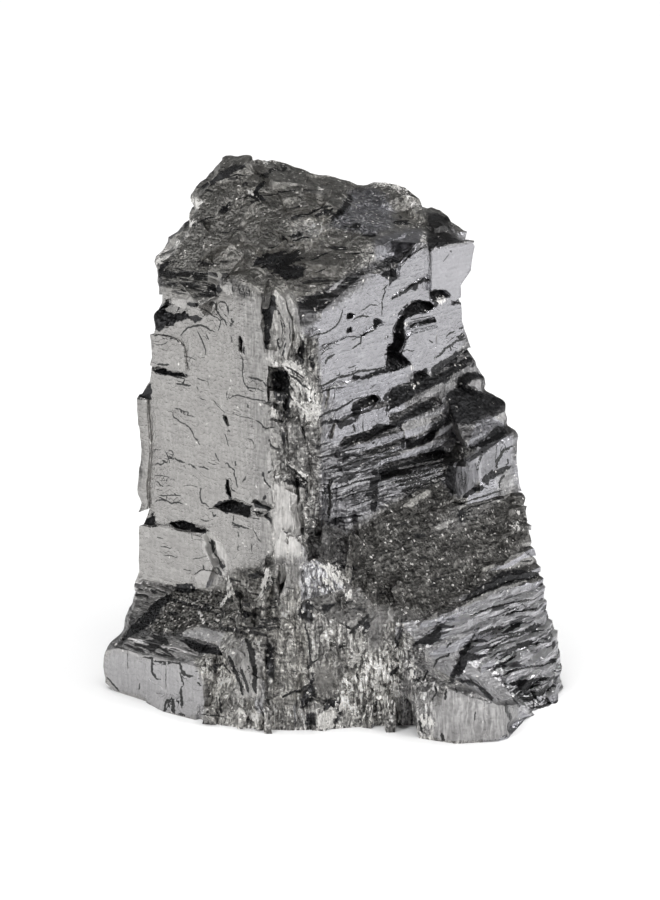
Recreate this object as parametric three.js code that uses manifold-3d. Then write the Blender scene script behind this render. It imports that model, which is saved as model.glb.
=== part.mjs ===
// Raw galena: one broken hand piece of massive, cleavable lead ore.
// Units are millimetres, +Z is up. The origin is the middle of its footprint, on the ground it rests on.
//
// The piece is shaped in its own cleavage frame. Galena breaks along the three directions of a cube,
// so every flat face and every ledge lies along s, t or z:
//   s runs along the right-hand cleavage face, away from the front edge,
//   t runs along the left-hand cleavage face, away from the front edge,
//   z is up. The mass lies at s > 0 and t > 0, and its front edge stands at s = t = 0.
import * as THREE from "three";
import { ConvexGeometry } from "three/addons/geometries/ConvexGeometry.js";
import { mergeVertices } from "three/addons/utils/BufferGeometryUtils.js";
import Module from "manifold-3d";

const wasm = await Module();
wasm.setup();

// ---------------------------------------------------------------- driving dimensions

const CLEAVAGE_TURN_DEG = 48;
const FULL_HEIGHT = 76;
const GROUND = 0;
const UNDERSIDE_TRIM = 12;
const WELD_TOLERANCE = 2e-3;
const BREAK_SEED = 20713;

// The trunk: level plans of the main mass, from the ground up. Every plan has the same eleven corners,
// walked anticlockwise from the left side of the broken front edge.
const TRUNK_PLANS = [
  { z: 0, plan: [[0, 5], [4, 0], [18, 0], [37, 0], [44, 9], [41, 23], [32, 32], [18, 36], [7, 35],
      [0, 31], [0, 16]] },
  { z: 14, plan: [[0, 5], [4, 0], [18, 0], [38, 0], [44, 9], [41, 23], [32, 32], [18, 36], [7, 35],
      [0, 31.5], [0, 16]] },
  { z: 27, plan: [[0, 5], [4, 0], [18, 0], [38.5, 0], [44, 9], [41, 23], [32, 32], [18, 36], [7, 35],
      [0, 29.6], [0, 16]] },
  { z: 40.6, plan: [[0, 5], [4, 0], [18, 0], [39.3, 0], [43, 10], [39, 24], [31, 32], [18, 36], [7, 34],
      [0, 30.6], [0, 16]] },
  { z: 43, plan: [[0, 5], [4, 0], [18, 0], [37.4, 0], [42, 10], [38, 24], [30, 32], [17, 35], [7, 33],
      [0, 28.7], [0, 16]] },
  { z: 50, plan: [[0, 5.5], [4, 0], [18, 0], [34, 0], [40, 11], [37, 24], [30, 32], [17, 35], [6, 32],
      [0, 28], [0, 16]] },
  { z: 55.4, plan: [[0, 6], [3, 0], [18, 0], [33.6, 0], [39, 11], [36, 24], [30, 32], [17, 35], [6, 32],
      [0, 25.6], [0, 16]] },
  { z: 57.6, plan: [[0, 6], [2, 0], [18, 0], [35.8, 0], [39, 11], [36, 24], [30, 32], [17, 35], [6, 32],
      [0, 26.8], [0, 16]] },
  { z: 61, plan: [[0, 5], [1, 0], [18, 0], [36.2, 0], [38.4, 11], [36, 24], [31, 31.5], [17, 35],
      [6, 32.2], [0, 27.2], [0, 16]] },
  { z: 64.4, plan: [[0, 5], [1, 0], [18, 0], [36, 0], [38.4, 11], [36, 24], [31, 31.5], [17, 35],
      [7, 28.6], [0, 22.2], [0, 14]] },
  { z: 66.6, plan: [[0, 5], [1, 0], [18, 0], [36, 0], [38.2, 11], [36, 24], [31, 31], [14, 34], [7, 28],
      [0, 21.6], [0, 14]] },
  { z: 69.4, plan: [[0, 5], [1, 0], [18, 0], [35, 0], [38, 11], [35, 24], [31, 30.5], [17.5, 34],
      [10, 27.6], [0, 18.4], [0, 12]] },
  { z: 76, plan: [[0, 4], [0.5, 0], [18, 0], [35, 0], [37, 11], [35, 24], [31, 30], [20, 32], [15, 25.4],
      [2, 14.6], [0, 12]] },
];

// The broken top: slanting breaks that take the trunk down. Each one is the plane z = z0 + ds*s + dt*t
// over a field of the plan, and everything above it is gone.
const TOP_BREAKS = [
  { z0: 55.6, ds: 0.4, dt: 0.38, field: [-20, 60, -20, 60] },
  { z0: 67.2, ds: -0.16, dt: 0.27, field: [13, 60, -20, 60] },
  { z0: 57.2, ds: 1, dt: 0, field: [-20, 16, 15.4, 60] },
  { z0: 72.7, ds: 0, dt: 0, field: [-20, 60, -20, 60] },
  { z0: 83, ds: 0, dt: -0.45, field: [-20, 60, 20, 60] },
  { z0: 84.2, ds: 0.77, dt: -0.855, field: [-20, 60, 15.4, 60] },
  { z0: 78, ds: -0.3, dt: 0, field: [18, 60, 22, 60] },
];

// The skyline: slanting breaks that take off whatever stands too high on the broken top, after its lumps
// and scales are on.
const SKYLINE_BREAKS = [
  { z0: 80.1, ds: -0.366, dt: -0.022, field: [-20, 60, -20, 60] },
];

// Lumps left standing on the broken top, as convex blocks given by their corners.
const TOP_LUMPS = [
  // the peak at the back on the left
  [[13, 24, 60], [22, 24, 60], [24, 34, 60], [12, 34, 60], [15, 27, 71], [18.5, 26, 72.6], [21, 31, 72.2],
      [16, 33, 70.5]],
  // the crest along the back
  [[18, 27, 60], [33, 24, 60], [33, 32, 60], [18, 34, 60], [20, 28, 70.6], [26, 27, 68.8],
      [33, 28.5, 66.8], [24, 32, 68.6]],
  // the rounded lump at the back on the right
  [[28, 8, 58], [38.4, 8, 58], [37.4, 21, 58], [28, 21, 58], [30, 12, 66], [35.6, 10.4, 66.6],
      [37, 13.6, 67.5], [34.6, 19.4, 66.8], [29, 18, 66.4]],
  // the step down towards the right-hand corner
  [[30, 2, 58], [36.8, 2, 58], [38, 11, 58], [30, 11, 58], [32, 3.5, 63.6], [36.4, 3, 63.4],
      [37.4, 5.6, 64.2], [37.6, 9, 65.4], [33, 9, 65.4]],
  // a square block half way along the right-hand edge
  [[16.5, 2.8, 55], [21.8, 2.8, 55], [22, 9, 55], [16.5, 9, 55], [16.8, 3, 61.6], [21.6, 3, 63.6],
      [21.6, 8, 64.6], [17, 8, 64.2]],
  // a low fold behind the front edge
  [[3, 6, 50], [12, 3, 50], [15, 9, 50], [5, 12, 50], [4.5, 8, 60.6], [11, 5, 61.6], [13.5, 8, 63],
      [7, 10.5, 62.4]],
  // a low fold in the middle of the top
  [[6, 15, 55], [18, 12, 55], [20, 18, 55], [8, 22, 55], [8, 16.5, 65], [16, 14, 67], [18, 17, 67.8],
      [10, 20, 66.8]],
];

// Low scales all over the broken top, each a tilted slab that barely shows.
const TOP_SCALES = {
  count: 28,
  alongS: [1, 35],
  alongT: [4, 31],
  long: [4, 9],
  wide: [2.5, 6],
  thick: 2.4,
  sunk: [0.55, 1.25],
  tiltDeg: 11,
};

// The skirt: the broken slope that flares out under the right-hand face. Stations along s, each a profile
// of [out from the face, z] from the top of the slope to the ground. The last one leans outwards towards
// its top: its third number is how much further along s a corner lies.
const SKIRT_STATIONS = [
  { s: -2.5, profile: [[0.6, 27], [2.5, 18], [3.4, 11], [4.2, 5], [3.6, 0]] },
  { s: 4, profile: [[1.2, 26.5], [5, 19], [8.2, 12.5], [9.8, 6], [9.8, 0]] },
  { s: 11, profile: [[3.6, 26], [8.8, 18.5], [12.3, 13.5], [15.5, 7], [17, 0]] },
  { s: 20, profile: [[5, 26], [11, 17.5], [13.6, 13.5], [18.5, 6], [22.4, 0]] },
  { s: 29, profile: [[6.4, 25.8], [12, 17], [14.2, 13], [18.2, 6], [21.4, 0]] },
  { s: 33.5, profile: [[7, 25.6], [12.2, 16.5], [14.3, 12.5], [17.4, 6], [19.4, 0]] },
  { s: 36.2, profile: [[7.2, 25.4, 2.5], [9.4, 21.4, 1.2], [12.4, 15.4, 0.4], [15.8, 6], [16.4, 0]] },
];
const SKIRT_ROOT = 4;

// Larger convex blocks that grew on to, or broke round, the trunk.
const BLOCKS = [
  // the foot under the left-hand face, with its slope behind it
  [[-10, 28.9, 3.2], [-9.4, 29.2, 5.2], [-10, 26.4, 6.5], [-10, 9.4, 7.6], [-10, 9, 0], [-10, 28.4, 0.8],
      [-10, 26.2, 0],
    [-4.4, 28.4, 8.8], [0, 30.2, 13.2], [0, 8, 13.6], [1, 32, 0], [1, 6, 0]],
  // its lower lip
  [[-11.4, 15.6, 0], [-10.8, 10, 0], [-10.4, 20, 0], [-11, 15.6, 1.2], [-10.4, 10, 1.6], [-9.8, 10, 2.6],
      [-9.8, 19.6, 2],
    [-6, 9, 0], [-6, 21, 0]],
  // a sliver leaning on the slope
  [[-3.6, 11, 13.4], [-6.8, 9.6, 10.4], [-9, 5.4, 8.8], [-5, 4.6, 13], [-2, 7, 15.4], [-1, 14, 13.6],
      [-4, 10, 6], [-2, 5, 6]],
  // the toe under the front edge
  [[-0.6, 9, 19], [-0.4, 2, 27], [2, -0.6, 28.6], [-6.4, 9, 9], [-8.6, 2.6, 0], [-10, 6, 0],
      [-9.6, 10, 0],
    [-5.2, -2.4, 0], [-1, -6.4, 0], [3.9, -9.8, 0], [-4.6, 1.4, 10], [-1.4, -3.4, 13.4], [8, -2, 26],
        [10, 4, 0], [6, 10, 18]],
  // the lump on the ground at the front on the right
  [[4.5, -17.6, 0], [6.2, -22.8, 0], [8.7, -24.2, 0], [10.8, -26.6, 0], [12.5, -26.8, 0], [17, -24.4, 0],
      [22, -23, 0],
    [4.2, -17.4, 6.6], [5.9, -22.4, 7.6], [8.7, -23.8, 7.2], [10.8, -26.2, 5.2], [12.6, -26.2, 4.6],
        [16.8, -24, 3.4],
    [6, -13, 10.4], [13, -14, 8.6], [21, -15, 4], [21.4, -22.6, 1.6]],
  // the block that stands out low on the right
  [[27.6, -6.6, 26], [38.8, -7.2, 25.6], [28.2, -6.6, 32], [38.9, -7, 33.6], [38.9, -6.6, 34.4],
      [26.8, -3.4, 26],
    [27, -3.4, 32], [28, 2, 25], [39, 2, 25], [28, 1, 34], [39, 1, 38]],
  // the dark hump on top of it
  [[30.2, -1.2, 38.4], [29.2, -5, 33.4], [38.9, -5.6, 34.6], [39.2, -2.4, 38], [39.3, -0.4, 40.2],
      [31, 0.6, 41.2],
    [36, 0.4, 41.4], [34, -3.6, 37.8], [32, 2, 36], [38.6, 2, 38]],
  // a dome on its slope
  [[33.4, -1.4, 41.6], [34.6, -2.6, 40], [36.8, -2.8, 39.8], [38.2, -1.6, 40.8], [38.8, 0.8, 42],
      [35, 1.2, 43],
    [33.2, 1, 42.4], [35, 1, 38]],
  // a small wedge under it, its end face square to the right-hand face
  [[29.4, -7.6, 27.4], [29.2, -7, 31.6], [33.6, -7.6, 27.2], [33, -7.2, 29.4], [29.6, -4, 31.8],
      [29.6, -4, 26.4], [34, -4, 27]],
];

// Plates that stand proud of a face. rim is the outline on the face as [along, z]; out is how far the
// front
// of the plate stands off the face; roof is the pitch in degrees of the slope that falls from its upper
// edge.
const RIGHT_PLATES = [
  { rim: [[26.6, 56], [32.8, 55.7], [35, 57.6], [35.9, 61], [34.6, 62.2], [26.6, 62.4]], out: 0.6,
      roof: 55 },
  { rim: [[20, 59], [20.4, 61], [26, 62.8], [26.8, 58.4]], out: 0.3, roof: 55 },
  { rim: [[3.8, 47.2], [17.3, 47.2], [17.3, 52.8], [15, 53.4], [12.4, 52], [9, 52.6], [5, 52.2],
      [3.6, 51]], out: 0.3, roof: 60 },
  { rim: [[5, 43.4], [9, 43.4], [12, 43.9], [17.5, 43.7], [23, 44.2], [23, 46], [17.5, 46.3], [8, 46.6],
      [5.4, 46.2]], out: 0.4, roof: 50 },
  { rim: [[6, 38.8], [17.6, 38.6], [17.6, 41.8], [15.6, 42], [13.6, 41.2], [10.6, 41.4], [6.5, 40.8]],
      out: 0.6, roof: 50 },
  { rim: [[20.6, 45.6], [27.8, 46], [28.2, 50.8], [23, 51], [21.6, 50], [20.8, 48.4]], out: 0.4,
      roof: 52 },
  { rim: [[7, 36], [20.4, 36], [20.8, 36.8], [19.6, 37.8], [12, 37.4], [7.4, 37]], out: 0.7, roof: 48 },
  { rim: [[20.6, 35.8], [27.6, 36.4], [31, 36.4], [29.6, 37.6], [20.6, 38]], out: 0.9, roof: 48 },
];

// Thin steps that lead out to the slope, one under another: the upper edge runs from [s, z] to [s, z].
const RIGHT_STEPS = [
  { from: [7.4, 34.6], to: [31.5, 36], out: 1, pitch: 46 },
  { from: [4.6, 33.4], to: [29.6, 34.4], out: 1.4, pitch: 48 },
  { from: [5.6, 32.4], to: [16, 32.2], out: 1.7, pitch: 44 },
  { from: [8.6, 31.2], to: [27.4, 31.6], out: 2.1, pitch: 44 },
  { from: [14, 30.3], to: [28, 30.9], out: 2.5, pitch: 42 },
  { from: [6.2, 29.6], to: [27, 30], out: 2.9, pitch: 46 },
  { from: [15.4, 28.7], to: [27.6, 29.3], out: 3.3, pitch: 44 },
  { from: [8, 27.9], to: [26.6, 28.4], out: 3.7, pitch: 46 },
  { from: [13, 27], to: [27.4, 27.6], out: 4.1, pitch: 44 },
  { from: [10.4, 26.4], to: [25.6, 26.8], out: 4.5, pitch: 46 },
];
// The same on the slope of the foot, under the left-hand face.
const LEFT_STEPS = [
  { from: [11.6, 8.7], to: [27.4, 8], out: 8.5, pitch: 33 },
  { from: [10, 10.2], to: [24.6, 9.7], out: 6.2, pitch: 36 },
  { from: [8.6, 11.9], to: [19.4, 11.2], out: 4, pitch: 38 },
];
const FOOT_BASE = 1;
const STEP_BASE = 21;
const STEP_NICKS = 6;
const STEP_JITTER = 0.32;

// Notches broken into a face: their floor climbs inwards from the lower edge at the given pitch.
// foot is the z of that lower edge at along = 0, and slant is how much it climbs per millimetre along.
const RIGHT_NOTCHES = [
  { rim: [[26.8, 54.5], [26.7, 56], [29, 55.9], [30.2, 55.6], [31.7, 54.6], [29.5, 54.2]], foot: 54.1,
      slant: 0, pitch: 40 },
  { rim: [[31.6, 53], [31.7, 53.7], [32.6, 53.4], [34.6, 53.9], [34.6, 52.9], [32.6, 53.1]], foot: 52.8,
      slant: 0, pitch: 35 },
  { rim: [[21, 53.1], [21.3, 54.3], [22.5, 54.9], [25, 55], [27, 54.4], [28, 53.4], [26.5, 52.9]],
      foot: 52.7, slant: 0, pitch: 42 },
  { rim: [[19, 49.9], [19.1, 51.6], [19.8, 53.2], [21, 53.6], [21.7, 53.2], [21.3, 51], [21.7, 49.9]],
      foot: 48.6, slant: 0, pitch: 52 },
  { rim: [[17.3, 46.4], [17.3, 50], [21.6, 50], [20.5, 48.3], [22.8, 46.1], [18.4, 45.9]], foot: 45.8,
      slant: 0, pitch: 50 },
  { rim: [[21.8, 51.2], [22.1, 52.2], [28, 52.1], [28.2, 51.2]], foot: 51.1, slant: 0, pitch: 42 },
  { rim: [[17.6, 40.2], [18.2, 42.6], [19.2, 43.8], [22.8, 43.5], [23, 44.9], [25.5, 44.8], [27, 43.6],
      [28.5, 43.8],
    [33, 45.3], [35.6, 46.1], [37.6, 45.6], [38, 43.7], [33, 42.7], [28, 41.5], [22, 40.8]], foot: 37,
        slant: 0.18, pitch: 48 },
  { rim: [[17.5, 38.5], [17.7, 39.6], [22, 40], [26, 40.7], [29, 40.2], [30, 38.8], [27.5, 38.4]],
      foot: 37.9, slant: 0.02, pitch: 45 },
  { rim: [[7.5, 37.3], [9, 38.6], [17.3, 38.5], [20, 37.9], [13, 37.2]], foot: 37.1, slant: 0,
      pitch: 42 },
  { rim: [[20.8, 34.2], [20.9, 35.6], [22, 36], [23.5, 35.3], [26, 35.7], [28.2, 36], [28, 35],
      [25, 34.1]], foot: 34, slant: 0, pitch: 45 },
  { rim: [[14.5, 31.3], [14.6, 33.1], [17, 33.4], [28, 32.9], [30, 33.8], [31, 33], [30.5, 31.2]],
      foot: 31, slant: 0, pitch: 44 },
  { rim: [[10.3, 41.8], [10.6, 43], [12.5, 43.3], [15.5, 43.2], [16.3, 42.4], [15, 41.7]], foot: 41.5,
      slant: 0, pitch: 42 },
  { rim: [[18, 56.2], [20.5, 57.2], [24.6, 58.2], [26.6, 57.9], [26.6, 57.4], [23.6, 57]], foot: 52.6,
      slant: 0.2, pitch: 45 },
  { rim: [[19.6, 59.2], [16.4, 60], [13, 61], [13, 62.4], [20, 64], [24, 63.4], [22.4, 62.4], [20, 61]],
      foot: 58.6, slant: 0, pitch: 58 },
  { rim: [[9.2, 55.2], [9.5, 55.9], [10.4, 55.9], [11.3, 55.4], [10.6, 55]], foot: 54.9, slant: 0,
      pitch: 35 },
  { rim: [[9.4, 53.2], [9.6, 53.9], [10.3, 54], [10.4, 53.2]], foot: 53.1, slant: 0, pitch: 35 },
  { rim: [[14.7, 53.1], [14.9, 54.1], [15.8, 54.1], [17.2, 53.4], [15.6, 53]], foot: 52.9, slant: 0,
      pitch: 38 },
];

const LEFT_PLATES = [
  { rim: [[6.4, 51], [9.6, 49.6], [12, 50.4], [12.6, 54], [15.3, 56], [15.4, 60.8], [12, 61], [7, 60]],
      out: 0.35, roof: 60 },
  { rim: [[21.4, 45.7], [28.5, 45.4], [28.5, 49.9], [24, 50.4], [21.8, 49.4]], out: 0.3, roof: 50 },
  { rim: [[4, 37.9], [4.6, 40.9], [6.4, 41.2], [8, 39.4], [6.4, 37.2]], out: 0.4, roof: 60 },
  { rim: [[29.2, 22.4], [29.4, 34], [29, 40.4], [30.8, 40.8], [31, 34], [31, 23]], out: 0.5, roof: 45 },
  { rim: [[0.6, 20.4], [0.4, 33.4], [3.2, 34.4], [5, 31], [5.4, 27.6], [5.2, 21]], out: 0.4, roof: 55 },
  { rim: [[17.4, 15.2], [22, 14.2], [30.6, 13.8], [30.4, 21.6], [28.2, 22], [25.6, 22.6], [22, 23.2],
      [18, 23], [15.4, 19.6]],
    out: 0.9, roof: 40 },
];

const LEFT_NOTCHES = [
  { rim: [[24.9, 51.4], [24.6, 55.7], [26.4, 55.2], [28, 53], [28.6, 50.9]], foot: 50.8, slant: 0,
      pitch: 50 },
  { rim: [[20.6, 53.4], [21.4, 54.7], [24.8, 55], [25, 51.6], [23.2, 52.6]], foot: 51.4, slant: 0.02,
      pitch: 50 },
  { rim: [[21.4, 44.8], [22.4, 45.5], [26.8, 45.6], [28.6, 45.1], [28.4, 44.5]], foot: 44.4, slant: 0,
      pitch: 32 },
  { rim: [[10.4, 50.3], [10.4, 52.2], [10.9, 52.9], [11.4, 52.4], [11.2, 50.6]], foot: 49, slant: 0,
      pitch: 55 },
  { rim: [[13.2, 39.4], [13.8, 40.6], [14.6, 40.7], [13.7, 39.2]], foot: 39, slant: 0, pitch: 45 },
  { rim: [[9.2, 26.9], [9, 28.8], [12.4, 29.2], [14.4, 28.2], [17.4, 26.6], [14.6, 26.8]], foot: 26.5,
      slant: 0, pitch: 40 },
  { rim: [[17.4, 23.2], [18.4, 23.7], [22.4, 23.9], [25.6, 22.9], [22.6, 22.4], [19, 22.8]], foot: 22.3,
      slant: 0, pitch: 36 },
  { rim: [[28, 21.8], [28.1, 24], [29.4, 24.3], [33, 22.4], [33, 21.6]], foot: 21.6, slant: 0,
      pitch: 42 },
  { rim: [[14.6, 17.8], [14.7, 19.7], [15.9, 20], [16.9, 22.4], [17.4, 21], [16, 18.6]], foot: 17.4,
      slant: 0, pitch: 60 },
  { rim: [[13.1, 29], [13.4, 31.6], [14.2, 31.6], [14, 29.6]], foot: 27.6, slant: 0, pitch: 62 },
  { rim: [[5.2, 29], [5.6, 29.6], [8.8, 29.8], [9.2, 29.2], [6, 28.8]], foot: 28.6, slant: 0, pitch: 40 },
  { rim: [[5.2, 27.6], [5.8, 28.5], [8.6, 27.9], [8.2, 27.4]], foot: 27.2, slant: 0, pitch: 42 },
];

// The broken front edge: a bevel from one face to the other, square to the bisector, with what tore on
// it.
// Places on it are [across from the left-hand face, z].
const BEVEL = { from: [0, 5.2], to: [4, 0], clear: 5, sink: 0.2 };
const BEVEL_PLATES = [
  { rim: [[0.5, 60], [1.8, 58.8], [2.9, 55.8], [2.8, 53], [1.9, 50.8], [1.2, 51.4], [1.9, 53.2],
      [2, 55.4], [1.3, 57.6], [0, 59]],
    out: 1.5, roof: 70 },
  { rim: [[2.3, 59.8], [3.7, 57.6], [4.1, 54.6], [3.5, 51.4], [2.8, 51.2], [3.2, 54], [3, 56.6],
      [1.9, 58.9]], out: 0.8, roof: 70 },
  { rim: [[0.9, 51.9], [2.4, 52.6], [4.6, 49.6], [6.4, 47.6], [6.8, 44.6], [5, 44.8], [3.4, 47.4],
      [1.6, 49.8]], out: 1.7, roof: 70 },
  { rim: [[2.6, 48.2], [4.6, 45.2], [5.4, 42], [4, 41.6], [3.2, 44.6], [2.2, 46.8]], out: 1, roof: 66 },
  { rim: [[2, 41.4], [3.4, 42.6], [4.4, 40], [4.2, 36.4], [2.8, 34.6], [2.2, 37.6]], out: 0.8, roof: 66 },
  { rim: [[4.6, 41], [6, 41.8], [6.4, 38], [5.6, 33], [4.8, 35]], out: 0.6, roof: 66 },
  { rim: [[0.4, 34], [2.6, 34.6], [3.2, 30], [2.6, 24], [0.8, 22.6], [0, 28]], out: 0.7, roof: 66 },
  { rim: [[3.2, 32.4], [4.4, 33], [5.2, 29], [4.6, 24.6], [3.6, 25]], out: 0.9, roof: 66 },
];
const BEVEL_NOTCHES = [
  { rim: [[-1, 60.6], [0.1, 59.8], [-0.3, 57], [0.6, 54], [0.6, 51.4], [-0.8, 51.8], [-1.7, 54.8],
      [-1.5, 57.6]], foot: 47, slant: 0, pitch: 74 },
  { rim: [[-0.6, 49.2], [1.6, 49.4], [2.4, 47], [1.9, 43], [1.2, 41.2], [-0.2, 41.8], [-0.8, 45.2]],
      foot: 38.6, slant: 0, pitch: 66 },
  { rim: [[3, 34.2], [3.6, 34], [3.9, 30.4], [3.3, 30]], foot: 27, slant: 0, pitch: 70 },
  { rim: [[1.6, 24], [3, 23.6], [2.4, 20], [1.2, 17.4], [0.8, 20]], foot: 14, slant: 0, pitch: 72 },
];
// The small bright cubes in the hollow.
const EDGE_CUBES = [
  { at: [0.7, 44.9], size: 1.5, out: -0.2, turn: 9 },
  { at: [-0.5, 43.6], size: 1.3, out: 0.1, turn: -6 },
  { at: [0.5, 42.4], size: 1.1, out: 0, turn: 20 },
];

// Shards left standing in the broken edge, each a thin leaf: middle, then length, width and thickness,
// then the way its long side leans (degrees from upright, towards +t) and how far it is turned about z.
const EDGE_SHARDS = [
  { at: [0.6, 4.4, 39.4], size: [4.4, 2.4, 1.8], lean: 4, turn: 0 },
  { at: [3.6, 0.2, 52.6], size: [5, 2.2, 1.2], lean: 22, turn: -60 },
  { at: [2.2, 1.8, 37], size: [6, 2, 1.4], lean: 14, turn: -44 },
  { at: [3.4, -0.1, 34.6], size: [5, 2.4, 1.4], lean: -30, turn: -60 },
  { at: [0.8, 2.6, 29], size: [7, 2.6, 1.4], lean: 8, turn: -24 },
  { at: [2.2, 0.4, 27.4], size: [7, 2.4, 1.5], lean: -12, turn: -48 },
];

// Layers that flow round the skirt: z is the foot of the layer on the right, droop how far it sinks
// where it bends round on the left.
const SKIRT_LAYERS = [
  { z: 0.3, thick: 1.1, from: 27, to: 36.2, out: 0.7, droop: 0.2 },
  { z: 1.7, thick: 1.2, from: 25, to: 36.5, out: 0.8, droop: 0.5 },
  { z: 3.2, thick: 1.1, from: 23, to: 36.4, out: 0.8, droop: 0.8 },
  { z: 4.6, thick: 1.2, from: 20.4, to: 36.2, out: 0.8, droop: 1 },
  { z: 6.1, thick: 1.1, from: 21.8, to: 36.4, out: 0.8, droop: 1 },
  { z: 7.5, thick: 1.2, from: 17.4, to: 36.4, out: 0.9, droop: 1.4 },
  { z: 9, thick: 1.2, from: 14.6, to: 36.5, out: 0.9, droop: 1.8 },
  { z: 10.5, thick: 1.1, from: 10, to: 36.5, out: 1, droop: 1.6 },
  { z: 12, thick: 1.3, from: 8, to: 36.4, out: 1, droop: 1.4 },
  { z: 13.6, thick: 1.2, from: 10.6, to: 36.4, out: 0.8, droop: 1 },
  { z: 15.4, thick: 0.8, from: 17, to: 36.6, out: 0.5, droop: 0.5 },
  { z: 17.4, thick: 0.9, from: 25, to: 37, out: 0.6, droop: 0.3 },
  { z: 20.8, thick: 0.7, from: 28.6, to: 37.6, out: 0.5, droop: 0.3 },
];
const LAYER_STATIONS = 7;
const LAYER_WAVE = 0.22;
const DROOP_REACH = 0.45;

// The torn, fibrous break low on the front: leaves of ore all over a field between its foot and its head.
const TORN_FIELD = {
  foot: [[-10, 8.6, 0], [-8.8, 2.6, 0], [-5.4, -2.2, 0], [-1, -6.4, 0], [3.6, -9.6, 0], [5, -15, 1]],
  head: [[-1.6, 9, 17.6], [-0.6, 3.6, 24], [0.8, 0.2, 27.6], [5, -2.6, 26], [9, -6.4, 20],
      [11.6, -10.6, 15.6]],
  across: 11,
  up: 5,
  length: [4, 8],
  width: [1.7, 3.8],
  thickness: [0.9, 2],
  leanDeg: [-34, 12],
  turnDeg: [-80, -10],
  sunk: -0.3,
};

// The back, which broke in cleavage steps: blocks on the far side of the plan, square to s and t.
const BACK_STEPS = {
  count: 66,
  stride: 25,
  lowest: 1,
  highest: 69,
  wide: [4, 12],
  tall: [3, 12],
  proud: [0.6, 3],
  flare: 0.14,
  tiltDeg: 2.5,
};
const PLAN_MIDDLE = [17, 15];
// Smaller steps on the two ends, low down, where the skirt and the foot broke off.
const RIGHT_END_STEPS = { ...BACK_STEPS, count: 13, stride: 5, highest: 33, wide: [3, 8], tall: [2, 7],
    proud: [0, 1.2], flare: 0 };
const RIGHT_END = [[37, -9], [39.5, -4], [42, 4]];
const LEFT_END_STEPS = { ...BACK_STEPS, count: 12, stride: 5, highest: 40, wide: [3, 8], tall: [2, 7],
    proud: [0, 0.8], flare: 0 };
const LEFT_END = [[3, 31.4], [7, 34.4], [14, 35.6]];
// Where the far side runs, as a line through the plan from the right-hand corner to the left-hand one.
const FAR_SIDE = [[36.5, 9], [38, 15], [36.5, 24], [30, 30], [19, 32.5], [12, 31.5]];

const ORE_COLOUR = 0x9a9a9c;
const ORE_ROUGHNESS = 0.34;
const ORE_METALNESS = 1;

// ---------------------------------------------------------------- helpers

const rad = THREE.MathUtils.degToRad;
const mix = THREE.MathUtils.lerp;

/** A small repeatable random source, so the broken parts come out the same each time. */
function makeRandom(seed) {
  let state = seed;
  return () => {
    state = (state * 1664525 + 1013904223) % 4294967296;
    return state / 4294967296;
  };
}

/** Turns a closed geometry into a solid, facing outwards whatever way round it was wound. */
function solidOf(geometry) {
  const bare = geometry.index ? geometry.toNonIndexed() : geometry.clone();
  const loose = new THREE.BufferGeometry();
  loose.setAttribute("position", bare.getAttribute("position"));
  const welded = mergeVertices(loose, WELD_TOLERANCE);
  const points = welded.attributes.position;
  const corners = welded.index.array;
  const faces = [];
  let sixVolumes = 0;
  const [a, b, c] = [new THREE.Vector3(), new THREE.Vector3(), new THREE.Vector3()];
  for (let i = 0; i < corners.length; i += 3) {
    const [i0, i1, i2] = [corners[i], corners[i + 1], corners[i + 2]];
    if (i0 === i1 || i1 === i2 || i2 === i0) continue;
    a.fromBufferAttribute(points, i0);
    b.fromBufferAttribute(points, i1);
    c.fromBufferAttribute(points, i2);
    sixVolumes += a.dot(b.cross(c));
    faces.push([i0, i1, i2]);
  }
  const outward = sixVolumes < 0 ? faces.map((f) => [f[0], f[2], f[1]]) : faces;
  const mesh = new wasm.Mesh({
    numProp: 3,
    vertProperties: new Float32Array(points.array),
    triVerts: new Uint32Array(outward.flat()),
  });
  return new wasm.Manifold(mesh);
}

/** A three.js geometry of a solid. */
function geometryOf(solid) {
  const mesh = solid.getMesh();
  const geometry = new THREE.BufferGeometry();
  geometry.setAttribute("position", new THREE.BufferAttribute(mesh.vertProperties, mesh.numProp));
  geometry.setIndex(new THREE.BufferAttribute(mesh.triVerts, 1));
  return geometry;
}

/** The convex block round a list of [s, t, z] corners. */
function block(corners) {
  return solidOf(new ConvexGeometry(corners.map((p) => new THREE.Vector3(...p))));
}

/** A closed skin through rings of equal length, capped flat at its two ends. */
function loft(rings) {
  const count = rings[0].length;
  const positions = rings.flat().flatMap((p) => p);
  const index = [];
  for (let r = 0; r + 1 < rings.length; r += 1) {
    for (let k = 0; k < count; k += 1) {
      const next = (k + 1) % count;
      const [low, lowNext] = [r * count + k, r * count + next];
      const [high, highNext] = [low + count, lowNext + count];
      index.push(low, lowNext, highNext, low, highNext, high);
    }
  }
  const flat = rings[0].map((p, k) => flatten(rings[0], k));
  const cap = THREE.ShapeUtils.triangulateShape(flat, []);
  if (THREE.ShapeUtils.isClockWise(flat)) cap.forEach((corners) => corners.reverse());
  const last = (rings.length - 1) * count;
  for (const [i, j, k] of cap) {
    index.push(k, j, i);
    index.push(last + i, last + j, last + k);
  }
  const geometry = new THREE.BufferGeometry();
  geometry.setAttribute("position", new THREE.Float32BufferAttribute(positions, 3));
  geometry.setIndex(index);
  return solidOf(geometry);
}

/** Corner k of a ring in the ring's own plane: a level plan, or a profile square to s or to t. */
function flatten(ring, k) {
  const [s, t, z] = ring[k];
  if (ring.every((p) => p[2] === ring[0][2])) return new THREE.Vector2(s, t);
  if (ring.every((p) => p[1] === ring[0][1])) return new THREE.Vector2(z, s);
  return new THREE.Vector2(t, z);
}

/** Places [along, z, out] of the right-hand face in the cleavage frame. */
function onRight(along, z, out) {
  return new THREE.Vector3(along, -out, z);
}

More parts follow.
